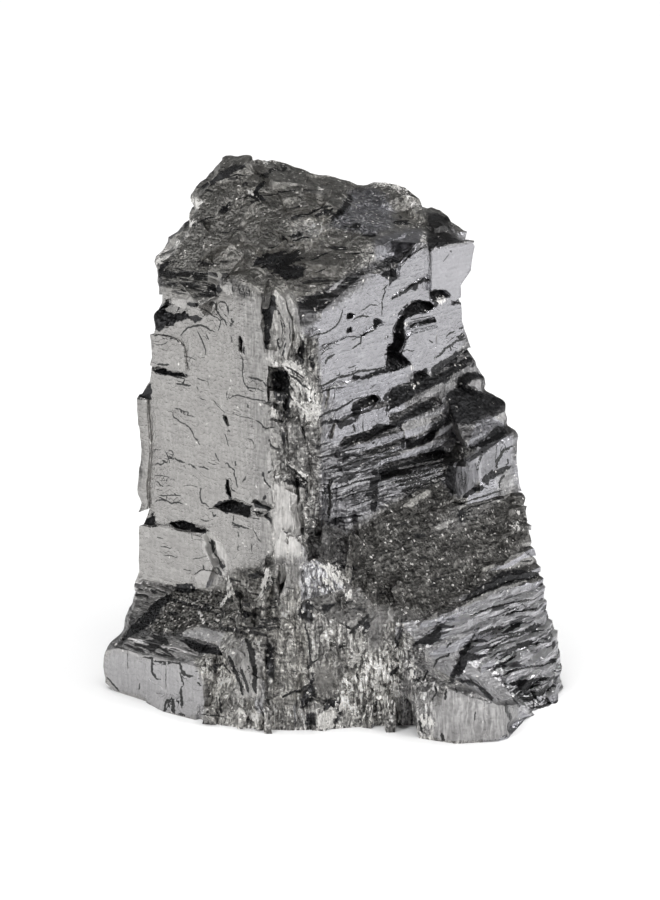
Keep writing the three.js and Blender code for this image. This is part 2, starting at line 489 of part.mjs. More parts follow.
/** Places [along, z, out] of the left-hand face in the cleavage frame. */
function onLeft(along, z, out) {
  return new THREE.Vector3(-out, along, z);
}

/** Places [across, z, out] of the bevel along the front edge in the cleavage frame. */
function onBevel(across, z, out) {
  const from = new THREE.Vector2(...BEVEL.from);
  const way = new THREE.Vector2(...BEVEL.to).sub(from).normalize();
  return new THREE.Vector3(from.x + way.x * across + way.y * out, from.y + way.y * across - way.x * out,
      z);
}

/** A prism on a face: rim is its outline, inner and outer give how far out its two ends lie. */
function prism(face, rim, inner, outer) {
  const shape = new THREE.Shape(rim.map(([u, z]) => new THREE.Vector2(u, z)));
  const geometry = new THREE.ExtrudeGeometry(shape, { depth: 1, bevelEnabled: false });
  const position = geometry.getAttribute("position");
  for (let i = 0; i < position.count; i += 1) {
    const [u, z, w] = [position.getX(i), position.getY(i), position.getZ(i)];
    const placed = face(u, z, mix(inner(u, z), outer(u, z), w));
    position.setXYZ(i, placed.x, placed.y, placed.z);
  }
  return solidOf(geometry);
}

const EMBED = 2.5;
const CLEAR = 6;

/** A plate standing proud of a face, with a roof that slopes back from its upper edge. */
function plate(face, { rim, out, roof }) {
  const top = Math.max(...rim.map(([, z]) => z));
  const run = 1 / Math.tan(rad(roof));
  const inner = () => -EMBED;
  const slab = prism(face, rim, inner, () => out);
  const under = prism(face, rim, inner, (u, z) => Math.max((top - z) * run, -EMBED + 0.1));
  return slab.intersect(under);
}

/** The cutter of a notch, whose floor climbs inwards from its lower edge. */
function notch(face, { rim, foot, slant, pitch }) {
  const run = 1 / Math.tan(rad(pitch));
  const floor = (u, z) => -(z - (foot + slant * u)) * run;
  return prism(face, rim, floor, () => CLEAR);
}

/** Everything above the plane z = z0 + ds*s + dt*t over a field of the plan. */
function above({ z0, ds, dt, field }) {
  const [s0, s1, t0, t1] = field;
  const box = new THREE.BoxGeometry(s1 - s0, t1 - t0, FULL_HEIGHT);
  box.translate((s0 + s1) / 2, (t0 + t1) / 2, FULL_HEIGHT / 2);
  const position = box.getAttribute("position");
  for (let i = 0; i < position.count; i += 1) {
    const slope = z0 + ds * position.getX(i) + dt * position.getY(i);
    position.setZ(i, position.getZ(i) + slope);
  }
  return solidOf(box);
}

/** A leaf of ore: a box whose far end tapers to an edge, leaned and turned into place. */
function leaf({ at, size, lean, turn }) {
  const [length, width, thickness] = size;
  const half = [thickness / 2, width / 2, length / 2];
  const corners = [];
  for (const side of [-1, 1]) {
    corners.push(new THREE.Vector3(-half[0], side * half[1], -half[2]));
    corners.push(new THREE.Vector3(half[0], side * half[1], -half[2]));
    corners.push(new THREE.Vector3(half[0], side * half[1] * 0.8, half[2] * 0.7));
    corners.push(new THREE.Vector3(-half[0], side * half[1] * 0.6, half[2]));
  }
  const geometry = new ConvexGeometry(corners);
  geometry.rotateX(rad(-lean));
  geometry.rotateZ(rad(turn));
  geometry.translate(...at);
  return solidOf(geometry);
}

// ---------------------------------------------------------------- the ore

function buildTrunk() {
  return loft(TRUNK_PLANS.map(({ z, plan }) => plan.map(([s, t]) => [s, t, z])));
}

function buildSkirt() {
  const rings = SKIRT_STATIONS.map(({ s, profile }) => {
    const outer = profile.map(([out, z, lean = 0]) => [s + lean, -out, z]);
    const [top] = outer;
    return [...outer, [s, SKIRT_ROOT, GROUND], [top[0], SKIRT_ROOT, top[2]]];
  });
  return loft(rings);
}

/** How far the skirt stands out at a place along s and a height. */
function skirtOut(s, z) {
  const last = SKIRT_STATIONS.length - 1;
  let k = SKIRT_STATIONS.findIndex((station) => station.s > s) - 1;
  if (k < 0) k = s < SKIRT_STATIONS[0].s ? 0 : last - 1;
  const [here, next] = [SKIRT_STATIONS[k], SKIRT_STATIONS[k + 1]];
  const part = THREE.MathUtils.clamp((s - here.s) / (next.s - here.s), 0, 1);
  return mix(outAt(here.profile, z), outAt(next.profile, z), part);
}

function outAt(profile, z) {
  for (let i = 0; i + 1 < profile.length; i += 1) {
    const [[outHigh, high], [outLow, low]] = [profile[i], profile[i + 1]];
    if (z <= high && z >= low) return mix(outLow, outHigh, (z - low) / (high - low));
  }
  return profile[0][0];
}

/** One layer of the skirt: a strip with an upright front that follows the slope and droops on the left.
 */
function skirtLayer({ z, thick, from, to, out, droop }, random) {
  const rings = [];
  const phase = random() * Math.PI * 2;
  for (let i = 0; i <= LAYER_STATIONS; i += 1) {
    const part = i / LAYER_STATIONS;
    const s = mix(from, to, part);
    const bend = Math.max(0, 1 - part / DROOP_REACH);
    const wave = LAYER_WAVE * Math.sin(phase + part * 9) - droop * bend * bend;
    const low = Math.max(z + wave, GROUND + 0.05);
    const high = low + thick * (0.75 + 0.5 * random());
    const reach = out * (0.6 + 0.5 * random()) * Math.min(1, part * 4 + 0.1);
    const front = skirtOut(s, low) + reach;
    const back = skirtOut(s, high + reach) - 0.1;
    rings.push([
      [s, -front, low],
      [s, -front, high],
      [s, -Math.min(back, front - 0.2), high + reach * 0.8],
      [s, -(back - 3), high],
      [s, -(back - 3), low],
    ]);
  }
  return loft(rings);
}

/** A thin step: upright in front, with a slope of the given pitch behind its ragged upper edge. */
function thinStep(face, { from, to, out, pitch }, base, random) {
  const run = Math.tan(rad(pitch));
  const rings = [];
  for (let i = 0; i <= STEP_NICKS; i += 1) {
    const part = i / STEP_NICKS;
    const edge = mix(from[1], to[1], part) + (random() - 0.5) * STEP_JITTER;
    const reach = out + (random() - 0.5) * STEP_JITTER * 0.6;
    const place = mix(from[0], to[0], part);
    const corners = [
      face(place, base, reach),
      face(place, edge, reach),
      face(place, edge + (reach + EMBED) * run, -EMBED),
      face(place, base, -EMBED),
    ];
    rings.push(corners.map((corner) => corner.toArray()));
  }
  return loft(rings);
}

/** What the bevel takes off the front edge, between the top and the toe. */
function bevelCutter() {
  const rim = [[-1, 21], [8, 24], [7.4, 62], [-1, 62]];
  return prism(onBevel, rim, () => -BEVEL.sink, () => BEVEL.clear);
}

/** One small cube of the hollow. */
function edgeCube({ at: [across, z], size, out, turn }) {
  const cube = new THREE.BoxGeometry(size, size, size);
  cube.rotateY(rad(turn));
  cube.translate(...onBevel(across, z, out).toArray());
  return solidOf(cube);
}

/** How high the broken top stands at a place in the plan. */
function topHeight(s, t) {
  const over = TOP_BREAKS.filter(({ field: [s0, s1, t0, t1] }) => s > s0 && s < s1 && t > t0 && t < t1);
  return Math.min(...over.map(({ z0, ds, dt }) => z0 + ds * s + dt * t));
}

/** Tilted scales scattered over the broken top. */
function topScales(random) {
  const spec = TOP_SCALES;
  const scales = [];
  for (let i = 0; i < spec.count; i += 1) {
    const s = mix(...spec.alongS, random());
    const t = mix(...spec.alongT, random());
    const box = new THREE.BoxGeometry(mix(...spec.long, random()), mix(...spec.wide, random()),
        spec.thick);
    const lift = (topHeight(s + 1, t) - topHeight(s - 1, t)) / 2;
    const climb = (topHeight(s, t + 1) - topHeight(s, t - 1)) / 2;
    box.rotateZ(random() * Math.PI);
    box.rotateX(Math.atan(climb) + rad((random() - 0.5) * 2 * spec.tiltDeg));
    box.rotateY(-Math.atan(lift) + rad((random() - 0.5) * 2 * spec.tiltDeg));
    box.translate(s, t, topHeight(s, t) - mix(...spec.sunk, random()));
    scales.push(solidOf(box));
  }
  return scales;
}

/** A point a given part of the way along a line of corners. */
function along(line, part) {
  const walk = Math.min(part, 0.999999) * (line.length - 1);
  const k = Math.floor(walk);
  return line[k].map((value, axis) => mix(value, line[k + 1][axis], walk - k));
}

/** Leaves of ore all over the torn field, each sunk part of the way in. */
function tornLeaves(random) {
  const spec = TORN_FIELD;
  const leaves = [];
  for (let row = 0; row < spec.up; row += 1) {
    for (let column = 0; column < spec.across; column += 1) {
      const across = (column + random()) / spec.across;
      const up = (row + random()) / spec.up;
      const foot = along(spec.foot, across);
      const head = along(spec.head, across);
      const at = foot.map((value, axis) => mix(value, head[axis], up));
      at[0] += spec.sunk + random() * 0.7;
      at[1] += spec.sunk + random() * 0.7;
      leaves.push(leaf({
        at,
        size: [mix(...spec.length, random()), mix(...spec.width, random()),
            mix(...spec.thickness, random())],
        lean: mix(...spec.leanDeg, random()),
        turn: mix(...spec.turnDeg, random()),
      }));
    }
  }
  return leaves;
}

/** Cleavage blocks along a line through the plan, their sides square to the cleavage but for a slight
 tilt. */
function cleavageSteps(spec, line, random) {
  const steps = [];
  for (let i = 0; i < spec.count; i += 1) {
    const [s, t] = along(line, (i * spec.stride + random()) % spec.count / spec.count);
    const z = mix(spec.lowest, spec.highest, (i + random()) / spec.count);
    const [wide, deep, tall] = [mix(...spec.wide, random()), mix(...spec.wide, random()),
        mix(...spec.tall, random())];
    const away = new THREE.Vector2(s - PLAN_MIDDLE[0], t - PLAN_MIDDLE[1]).normalize();
    const spread = 1 + spec.flare * (1 - z / spec.highest);
    const proud = mix(...spec.proud, random()) + spec.flare * 8 * (spread - 1);
    const box = new THREE.BoxGeometry(wide, deep, tall);
    box.rotateX(rad((random() - 0.5) * 2 * spec.tiltDeg));
    box.rotateY(rad((random() - 0.5) * 2 * spec.tiltDeg));
    const inward = [(-Math.sign(away.x) * wide) / 2, (-Math.sign(away.y) * deep) / 2];
    const outS = PLAN_MIDDLE[0] + (s - PLAN_MIDDLE[0]) * spread + away.x * proud;
    const outT = PLAN_MIDDLE[1] + (t - PLAN_MIDDLE[1]) * spread + away.y * proud;
    box.translate(outS + inward[0], outT + inward[1], z);
    steps.push(solidOf(box));
  }
  return steps;
}

function buildGalena() {
  const random = makeRandom(BREAK_SEED);
  let ore = buildTrunk();
  const add = (solid) => {
    ore = ore.add(solid);
  };
  const cut = (solid) => {
    ore = ore.subtract(solid);
  };
  cleavageSteps(BACK_STEPS, FAR_SIDE, random).forEach(add);
  cleavageSteps(LEFT_END_STEPS, LEFT_END, random).forEach(add);
  cleavageSteps(RIGHT_END_STEPS, RIGHT_END, random).forEach(add);
  TOP_BREAKS.map(above).forEach(cut);
  TOP_LUMPS.map(block).forEach(add);
  topScales(random).forEach(add);
  SKYLINE_BREAKS.map(above).forEach(cut);
  add(buildSkirt());
  BLOCKS.map(block).forEach(add);
  SKIRT_LAYERS.map((layer) => skirtLayer(layer, random)).forEach(add);
  RIGHT_STEPS.map((step) => thinStep(onRight, step, STEP_BASE, random)).forEach(add);
  LEFT_STEPS.map((step) => thinStep(onLeft, step, FOOT_BASE, random)).forEach(add);
  RIGHT_PLATES.map((spec) => plate(onRight, spec)).forEach(add);
  LEFT_PLATES.map((spec) => plate(onLeft, spec)).forEach(add);
  cut(bevelCutter());
  BEVEL_PLATES.map((spec) => plate(onBevel, spec)).forEach(add);
  BEVEL_NOTCHES.map((spec) => notch(onBevel, spec)).forEach(cut);
  EDGE_CUBES.map(edgeCube).forEach(add);
  RIGHT_NOTCHES.map((spec) => notch(onRight, spec)).forEach(cut);
  LEFT_NOTCHES.map((spec) => notch(onLeft, spec)).forEach(cut);
  EDGE_SHARDS.map(leaf).forEach(add);
  tornLeaves(random).forEach(add);
  const underside = new THREE.BoxGeometry(200, 200, UNDERSIDE_TRIM);
  underside.translate(0, 0, GROUND - UNDERSIDE_TRIM / 2);
  cut(solidOf(underside));
  return soundBody(ore);
}

/** The main body alone, with no loose crumbs and no pockets sealed inside it. */
function soundBody(solid) {
  const bodies = solid.decompose();
  return bodies.reduce((largest, body) => (body.volume() > largest.volume() ? body : largest));
}

const galenaSolid = buildGalena();
const galenaGeometry = geometryOf(galenaSolid);
galenaGeometry.rotateZ(rad(CLEAVAGE_TURN_DEG));
galenaGeometry.computeBoundingBox();
const middle = galenaGeometry.boundingBox.getCenter(new THREE.Vector3());

const oreMaterial = new THREE.MeshStandardMaterial({
  color: ORE_COLOUR,
  roughness: ORE_ROUGHNESS,
  metalness: ORE_METALNESS,
});

const galena = new THREE.Mesh(galenaGeometry, oreMaterial);
galena.name = "galena";
galena.position.set(-middle.x, -middle.y, -galenaGeometry.boundingBox.min.z);

const part = new THREE.Group();
part.add(galena);

export default part;
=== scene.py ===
"""Raw galena: one broken lump of lead ore, dressed over its solid and set in a plain studio.

Lengths are in millimetres until the meshes are written, which are in metres. The crystal's own axes are
s (along the right-hand cleavage face), t (along the left-hand one) and z (up).
"""
import logging
import math
from dataclasses import dataclass, field, fields
from enum import Enum

import bpy
import numpy as np
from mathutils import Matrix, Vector


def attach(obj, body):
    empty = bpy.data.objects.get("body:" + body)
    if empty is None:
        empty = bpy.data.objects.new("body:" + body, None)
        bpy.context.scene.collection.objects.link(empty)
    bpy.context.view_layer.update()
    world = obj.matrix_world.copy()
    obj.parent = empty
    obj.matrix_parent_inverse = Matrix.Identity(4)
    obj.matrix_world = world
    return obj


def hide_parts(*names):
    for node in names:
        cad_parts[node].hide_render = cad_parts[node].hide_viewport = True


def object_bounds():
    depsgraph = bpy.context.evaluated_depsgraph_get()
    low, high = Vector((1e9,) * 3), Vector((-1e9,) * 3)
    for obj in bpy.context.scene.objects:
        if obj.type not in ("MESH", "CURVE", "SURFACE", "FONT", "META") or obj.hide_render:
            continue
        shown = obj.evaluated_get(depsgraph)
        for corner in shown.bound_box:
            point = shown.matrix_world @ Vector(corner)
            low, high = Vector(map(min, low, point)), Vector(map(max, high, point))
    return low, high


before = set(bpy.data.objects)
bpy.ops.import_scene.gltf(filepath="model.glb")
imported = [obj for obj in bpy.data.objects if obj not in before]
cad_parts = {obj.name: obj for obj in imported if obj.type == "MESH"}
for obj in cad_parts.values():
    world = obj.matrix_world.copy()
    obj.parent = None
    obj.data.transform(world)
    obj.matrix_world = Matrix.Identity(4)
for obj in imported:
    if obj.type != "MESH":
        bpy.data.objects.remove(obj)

CAD_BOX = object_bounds()
LOG = logging.getLogger("galena")
MM = 0.001
# How high a point that stands on the ground may lie, in millimetres, and the least length to divide by.
ON_GROUND = 0.02
TINY = 1e-12


class Zone(Enum):
    """The kinds of surface on the stone, as the numbers its faces carry."""

    CLEAVAGE = 0
    TREAD = 1
    TOP = 2
    TORN = 3
    SLOPE = 4
    LAYERED = 5


# ---------------------------------------------------------------- places on the stone


@dataclass(frozen=True)
class CrystalFrame:
    """Where the crystal's axes lie in the row frame.

    Attributes:
        edge: The foot of the front edge in the row frame, x and y.
        turn_deg: How far the right-hand face is turned about z.
    """

    edge: tuple[float, float] = (-4.537, -18.862)
    turn_deg: float = 48.0

    @property
    def axes(self) -> np.ndarray:
        """The s, t and z axes as rows of a 3 by 3 matrix."""
        turn = math.radians(self.turn_deg)
        along_s = (math.cos(turn), math.sin(turn), 0.0)
        along_t = (-math.sin(turn), math.cos(turn), 0.0)
        return np.array([along_s, along_t, (0.0, 0.0, 1.0)])

    def to_crystal(self, points: np.ndarray) -> np.ndarray:
        """N row-frame points, in millimetres, as N rows of s, t and z."""
        return (points - np.array([*self.edge, 0.0])) @ self.axes.T

    def to_row(self, points: np.ndarray) -> np.ndarray:
        """N rows of s, t and z as row-frame points, in millimetres."""
        return points @ self.axes + np.array([*self.edge, 0.0])


@dataclass(frozen=True)
class GrainNoise:
    """Smooth seeded noise over space.

    Attributes:
        seed: Chooses the pattern.
        apart: How far apart in space two layers of it are read.
    """

    seed: int = 11
    apart: float = 31.7

    def _lattice(self, corner: np.ndarray) -> np.ndarray:
        """A value from -1 to 1 for every lattice corner."""
        primes = np.array([374761393, 668265263, 2147483647], dtype=np.uint64)
        mixed = (corner.astype(np.int64).astype(np.uint64) * primes).sum(axis=1, dtype=np.uint64)
        mixed = mixed + np.uint64(self.seed * 974711)
        mixed = (mixed ^ (mixed >> np.uint64(13))) * np.uint64(1274126177)
        mixed = mixed ^ (mixed >> np.uint64(16))
        return (mixed & np.uint64(0xFFFF)).astype(float) / 32767.5 - 1.0

    def value(self, points: np.ndarray, size: np.ndarray) -> np.ndarray:
        """Smooth noise at each point.

        Args:
            points: N by 3.
            size: The length of one wave along each axis.

        Returns:
            N values, about -1 to 1.
        """
        scaled = points / size
        low = np.floor(scaled)
        part = scaled - low
        part = part * part * (3.0 - 2.0 * part)
        total = np.zeros(len(points))
        for corner in np.ndindex(2, 2, 2):
            step = np.array(corner, dtype=float)
            weight = np.prod(np.where(step > 0, part, 1.0 - part), axis=1)
            total += weight * self._lattice(low + step)
        return total

    def layered(self, points: np.ndarray, size: tuple[float, float, float], octaves: int) -> np.ndarray:
        """Noise with finer noise added to it.

        Args:
            points: N by 3.
            size: The length of the coarsest wave along each axis.
            octaves: How many layers, each half the size of the last.

        Returns:
            N values, about -1 to 1.
        """
        total = np.zeros(len(points))
        reach = 0.0
        for octave in range(octaves):
            share = 0.5**octave
            total += share * self.value(points + self.apart * octave, np.array(size) * share)
            reach += share
        return total / reach


@dataclass(frozen=True)
class FrontView:
    """The stone squarely from the front: where things are set out, and where the camera stands.

    Attributes:
        target: What the view looks at, in the row frame, in millimetres.
        distance: How far off the eye is, in millimetres.
        elevation_deg: How far it looks down.
        centre: Where the target comes on the sheet, in sheet points.
        points_per_slope: Sheet points for a slope of one.
        point_mm: The size of a sheet point at the target.
    """

    target: tuple[float, float, float] = (-0.537, -4.862, 34.5)
    distance: float = 500.0
    elevation_deg: float = 16.0
    centre: tuple[float, float] = (330.0, 450.0)
    points_per_slope: float = 3571.4
    point_mm: float = 0.14

    @property
    def back(self) -> np.ndarray:
        """The way from the target to the eye."""
        tilt = math.radians(self.elevation_deg)
        return np.array([0.0, -math.cos(tilt), math.sin(tilt)])

    def sheet(self, points: np.ndarray) -> np.ndarray:
        """Where points of the row frame come on the sheet.

        Args:
            points: N by 3, in millimetres.

        Returns:
            N by 2: to the right and down.
        """
        tilt = math.radians(self.elevation_deg)
        x, y, z = (points - np.array(self.target)).T
        up = y * math.sin(tilt) + z * math.cos(tilt)
        depth = self.distance + y * math.cos(tilt) - z * math.sin(tilt)
        right = self.centre[0] + self.points_per_slope * x / depth
        down = self.centre[1] - self.points_per_slope * up / depth
        return np.stack([right, down], axis=1)


@dataclass(frozen=True)
class Mark:
    """A crack or the rim of a patch.

    Attributes:
        line: Its corners, in sheet points.
        width: How wide a crack is, in millimetres.
    """

    line: tuple[tuple[float, float], ...]
    width: float = 0.16


@dataclass(frozen=True)
class Surface:
    """What a stretch of surface is like.

    Attributes:
        tone: How light the ore is, from 0 to 1.
        rough: How blurred it mirrors.
        grain: How strongly its grains sparkle: how far they tilt, and how many get the painted glint colour.
        stripes: How much of it is dark stripes along the layers: painted shade for the layers' treads, with
            a dip in the relief.
        fibres: How much of it is upright fibres.
        cracks: How many fine cracks run over it.
        streaks: How strong its fine level streaks are.
        mottle: How blotchy it is.
        warm: From -1, cool, to 1, warm.
        chunks: How much it breaks into small light and dark chunks.
        painted_level_light: How far its level parts get painted light: a lighter colour, so they look as
            light as its upright parts.
        dull: How far it scatters light instead of mirroring it.
        faced: How far it mirrors as one upright face, whatever its small steps.
    """

    tone: float = 0.34
    rough: float = 0.27
    grain: float = 0.05
    stripes: float = 0.0
    fibres: float = 0.0
    cracks: float = 0.5
    streaks: float = 0.4
    mottle: float = 0.3
    warm: float = 0.0
    chunks: float = 0.0
    painted_level_light: float = 0.0
    dull: float = 0.0
    faced: float = 0.0

    @property
    def values(self) -> tuple[float, ...]:
        """Its numbers in order."""
        return tuple(getattr(self, name) for name in self.names())

    @staticmethod
    def names() -> tuple[str, ...]:
        """The names of its numbers, as the mesh carries them."""
        return tuple(each.name for each in fields(Surface))

    @staticmethod
    def column(name: str) -> int:
        """Which of its numbers has this name."""
        return Surface.names().index(name)


@dataclass(frozen=True)
class Region:
    """A stretch of the front with its own surface.

    Attributes:
        rim: Its corners, in sheet points.
        surface: What it is like.
        feather: How softly it ends, in millimetres.
    """

    rim: tuple[tuple[float, float], ...]
    surface: Surface
    feather: float = 1.0


def off_line(points: np.ndarray, line: np.ndarray) -> tuple[np.ndarray, np.ndarray, np.ndarray]:
    """How points lie against a line of corners.

    Args:
        points: N by 2.
        line: K by 2.

    Returns:
        The signed distance off the nearest stretch, how far along the line, and how far past its ends.
    """
    nearest = np.full(len(points), np.inf)
    off, along, past = (np.zeros(len(points)) for _ in range(3))
    walked = 0.0
    for start, end in zip(line[:-1], line[1:]):
        reach = float(np.hypot(*(end - start)))
        way = (end - start) / max(reach, 1e-9)
        local = points - start
        ahead = local @ way
        aside = local[:, 0] * way[1] - local[:, 1] * way[0]
        over = np.maximum(np.maximum(-ahead, ahead - reach), 0.0)
        distance = np.hypot(aside, over)
        closer = distance < nearest
        nearest = np.where(closer, distance, nearest)
        off = np.where(closer, aside, off)
        along = np.where(closer, walked + np.clip(ahead, 0, reach), along)
        past = np.where(closer, over, past)
        walked += reach
    return off, along, past


def inside_rim(points: np.ndarray, rim: np.ndarray) -> np.ndarray:
    """How far inside a rim points lie.

    Args:
        points: N by 2.
        rim: K by 2, its corners in order.

    Returns:
        N distances, above zero inside.
    """
    closed = np.vstack([rim, rim[:1]])
    off, _, past = off_line(points, closed)
    distance = np.hypot(off, past)
    within = np.zeros(len(points), dtype=bool)
    for (ax, ay), (bx, by) in zip(closed[:-1], closed[1:]):
        spans = (ay > points[:, 1]) != (by > points[:, 1])
        crossing = ax + (points[:, 1] - ay) * (bx - ax) / (by - ay if by != ay else 1e-9)
        within ^= spans & (points[:, 0] < crossing)
    return np.where(within, distance, -distance)


@dataclass(frozen=True)
class Push:
    """A place where the outline is eased out or in, as seen from the front.

    Attributes:
        at: Its middle, in sheet points.
        reach: How far round it goes, in sheet points.
        shift: How far it moves the middle, right and down, in sheet points.
    """

    at: tuple[float, float]
    reach: float
    shift: tuple[float, float]


@dataclass
class SetOut:
    """All the marks of the front, laid out on the sheet.

    Attributes:
        view: The sheet.
        cracks: The cracks.
        dark: Rims of painted shade: treads and pockets that get a near-black colour for their shade.
        light: Rims of light patches, whose lighter colour paints in part of the floor's reflection.
        bright: Rims of painted glints: facets that get a near-white colour.
        regions: Stretches with their own surface, later ones over earlier ones.
        pushes: Where the outline is eased.
        corner: The last point of the sheet, right and down.
        reach: How far off a mark still counts, in millimetres.
        spacing: How far apart the dots are that draw a mark, in sheet points.
        dot: How far a dot reaches each way, in sheet points.
        tip: How wide a crack is at its ends, as a share of its width.
        taper: The share of its length that it narrows over.
        thinning: How much narrower it counts, for each millimetre off its line.
    """

    view: FrontView
    cracks: tuple[Mark, ...]
    dark: tuple[Mark, ...]
    light: tuple[Mark, ...]
    bright: tuple[Mark, ...]
    regions: tuple[Region, ...]
    pushes: tuple[Push, ...]
    corner: tuple[int, int] = (660, 900)
    reach: float = 0.9
    spacing: float = 1.5
    dot: int = 2
    tip: float = 0.45
    taper: float = 0.3
    thinning: float = 0.12

    def __post_init__(self) -> None:
        """Draws where the marks are on a coarse grid."""
        self._grid = np.zeros((self.corner[1] + 1, self.corner[0] + 1), dtype=bool)
        rims = [mark.line + mark.line[:1] for mark in (*self.dark, *self.light, *self.bright)]
        width = 2 * self.dot + 1
        for line in [mark.line for mark in self.cracks] + rims:
            for start, end in zip(np.array(line[:-1]), np.array(line[1:])):
                steps = int(np.hypot(*(end - start)) / self.spacing) + 2
                for right, down in start + np.linspace(0, 1, steps)[:, None] * (end - start):
                    top, left = int(down) - self.dot, int(right) - self.dot
                    self._grid[max(top, 0):top + width, max(left, 0):left + width] = True

    def near(self, points: np.ndarray) -> np.ndarray:
        """Whether each point, seen from the front, is next to a mark."""
        right, down = np.clip(self.view.sheet(points), 0, self.corner).astype(int).T
        return self._grid[down, right]

    def crack_fields(self, sheet: np.ndarray, facing: np.ndarray) -> tuple[np.ndarray, np.ndarray]:
        """How each point lies against the nearest crack.

        Args:
            sheet: N by 2, in sheet points.
            facing: Which points face the front.

        Returns:
            The signed distance off it and its half width there, in millimetres.
        """
        point = self.view.point_mm
        off_all = np.full(len(sheet), 1.0)
        half_all = np.full(len(sheet), -1.0)
        best = np.full(len(sheet), self.reach)
        for mark in self.cracks:
            line = np.array(mark.line)
            pick = self._box(sheet, line) & facing
            if not pick.any():
                continue
            off, along, past = (value * point for value in off_line(sheet[pick], line))
            length = np.hypot(*np.diff(line, axis=0).T).sum() * point
            from_end = np.minimum(along, length - along)
            half = mark.width / 2 * np.minimum(1.0, self.tip + from_end / (self.taper * length))
            half = half - self.thinning * np.abs(off) - past
            distance = np.hypot(off, past)
            rows = np.flatnonzero(pick)
            closer = distance < best[rows]
            rows = rows[closer]
            best[rows] = distance[closer]
            off_all[rows] = off[closer]
            half_all[rows] = half[closer]
        return off_all, half_all

    def rim_field(self, sheet: np.ndarray, facing: np.ndarray, marks: tuple[Mark, ...]) -> np.ndarray:
        """How far inside any of these rims each point is.

        Args:
            sheet: N by 2, in sheet points.
            facing: Which points face the front.
            marks: The rims.

        Returns:
            N distances in millimetres, above zero inside, at least -1.
        """
        inside = np.full(len(sheet), -1.0)
        for mark in marks:
            rim = np.array(mark.line)
            pick = self._box(sheet, rim) & facing
            if pick.any():
                rows = np.flatnonzero(pick)
                inside[rows] = np.maximum(inside[rows], inside_rim(sheet[rows], rim) * self.view.point_mm)
        return inside

    def paint_regions(
        self, sheet: np.ndarray, facing: np.ndarray, values: np.ndarray
    ) -> tuple[np.ndarray, np.ndarray]:
        """Lays the regions over the surface values.

        Args:
            sheet: N by 2, in sheet points.
            facing: Which points face the front.
            values: N rows of surface values, as they would be without the regions.

        Returns:
            N rows of surface values, and how far a region covers each point, from 0 to 1.
        """
        painted = values.copy()
        covered = np.zeros(len(sheet))
        rows = np.flatnonzero(facing)
        for region in self.regions:
            inside = inside_rim(sheet[rows], np.array(region.rim)) * self.view.point_mm
            share = np.clip(inside / region.feather + 0.5, 0, 1)
            painted[rows] += share[:, None] * (np.array(region.surface.values) - painted[rows])
            covered[rows] = np.maximum(covered[rows], share)
        return painted, covered

    def eased(self, points: np.ndarray) -> np.ndarray:
        """Points of the row frame after the pushes.

        Args:
            points: N by 3, in millimetres.

        Returns:
            N by 3.
        """
        tilt = math.radians(self.view.elevation_deg)
        down = np.array([0.0, -math.sin(tilt), -math.cos(tilt)])
        sheet = self.view.sheet(points)
        moved = points.copy()
        for push in self.pushes:
            far = np.hypot(*(sheet - np.array(push.at)).T) / push.reach
            share = (np.clip(1.0 - far * far, 0, 1) ** 2 * self.view.point_mm)[:, None]
            moved += share * (push.shift[0] * np.array([1.0, 0.0, 0.0]) + push.shift[1] * down)
        return moved

    def _box(self, sheet: np.ndarray, line: np.ndarray) -> np.ndarray:
        """Which points are near the box round a mark."""
        margin = self.reach / self.view.point_mm
        low, high = line.min(axis=0) - margin, line.max(axis=0) + margin
        return ((sheet >= low) & (sheet <= high)).all(axis=1)


def corners(text: str) -> tuple[tuple[float, float], ...]:
    """Reads corners, each written as right,down in sheet points."""
    return tuple(tuple(float(part) for part in corner.split(",")) for corner in text.split())


def listed(text: str) -> list[str]:
    """The marks of a list, without its headings. An indented line goes on with the one above."""
    return [line for line in text.replace("\n ", " ").splitlines() if line[:1].isdigit()]


def cracks(text: str) -> tuple[Mark, ...]:
    """Reads cracks, one a line: how wide in millimetres, then the corners."""
    split = [line.partition(" ") for line in listed(text)]
    return tuple(Mark(corners(rest), float(width)) for width, _, rest in split)


def rims(text: str) -> tuple[Mark, ...]:
    """Reads rims, one a line: the corners."""
    return tuple(Mark(corners(line)) for line in listed(text))


def stretches(text: str) -> tuple[Region, ...]:
    """Reads regions, one a line: the corners | the numbers of the surface | the feather, where it has one.

    Args:
        text: The list.

    Returns:
        The regions in order.
    """
    made = []
    for line in listed(text):
        rim, numbers, *feather = line.split("|")
        surface = Surface(*map(float, numbers.split()))
        made.append(Region(corners(rim), surface, *map(float, feather)))
    return tuple(made)


def pushes(text: str) -> tuple[Push, ...]:
    """Reads pushes, one a line: the middle, the reach, the shift."""
    split = [line.split() for line in listed(text)]
    return tuple(Push(*corners(at), float(reach), *corners(shift)) for at, reach, shift in split)


# ---------------------------------------------------------------- what is marked on the front

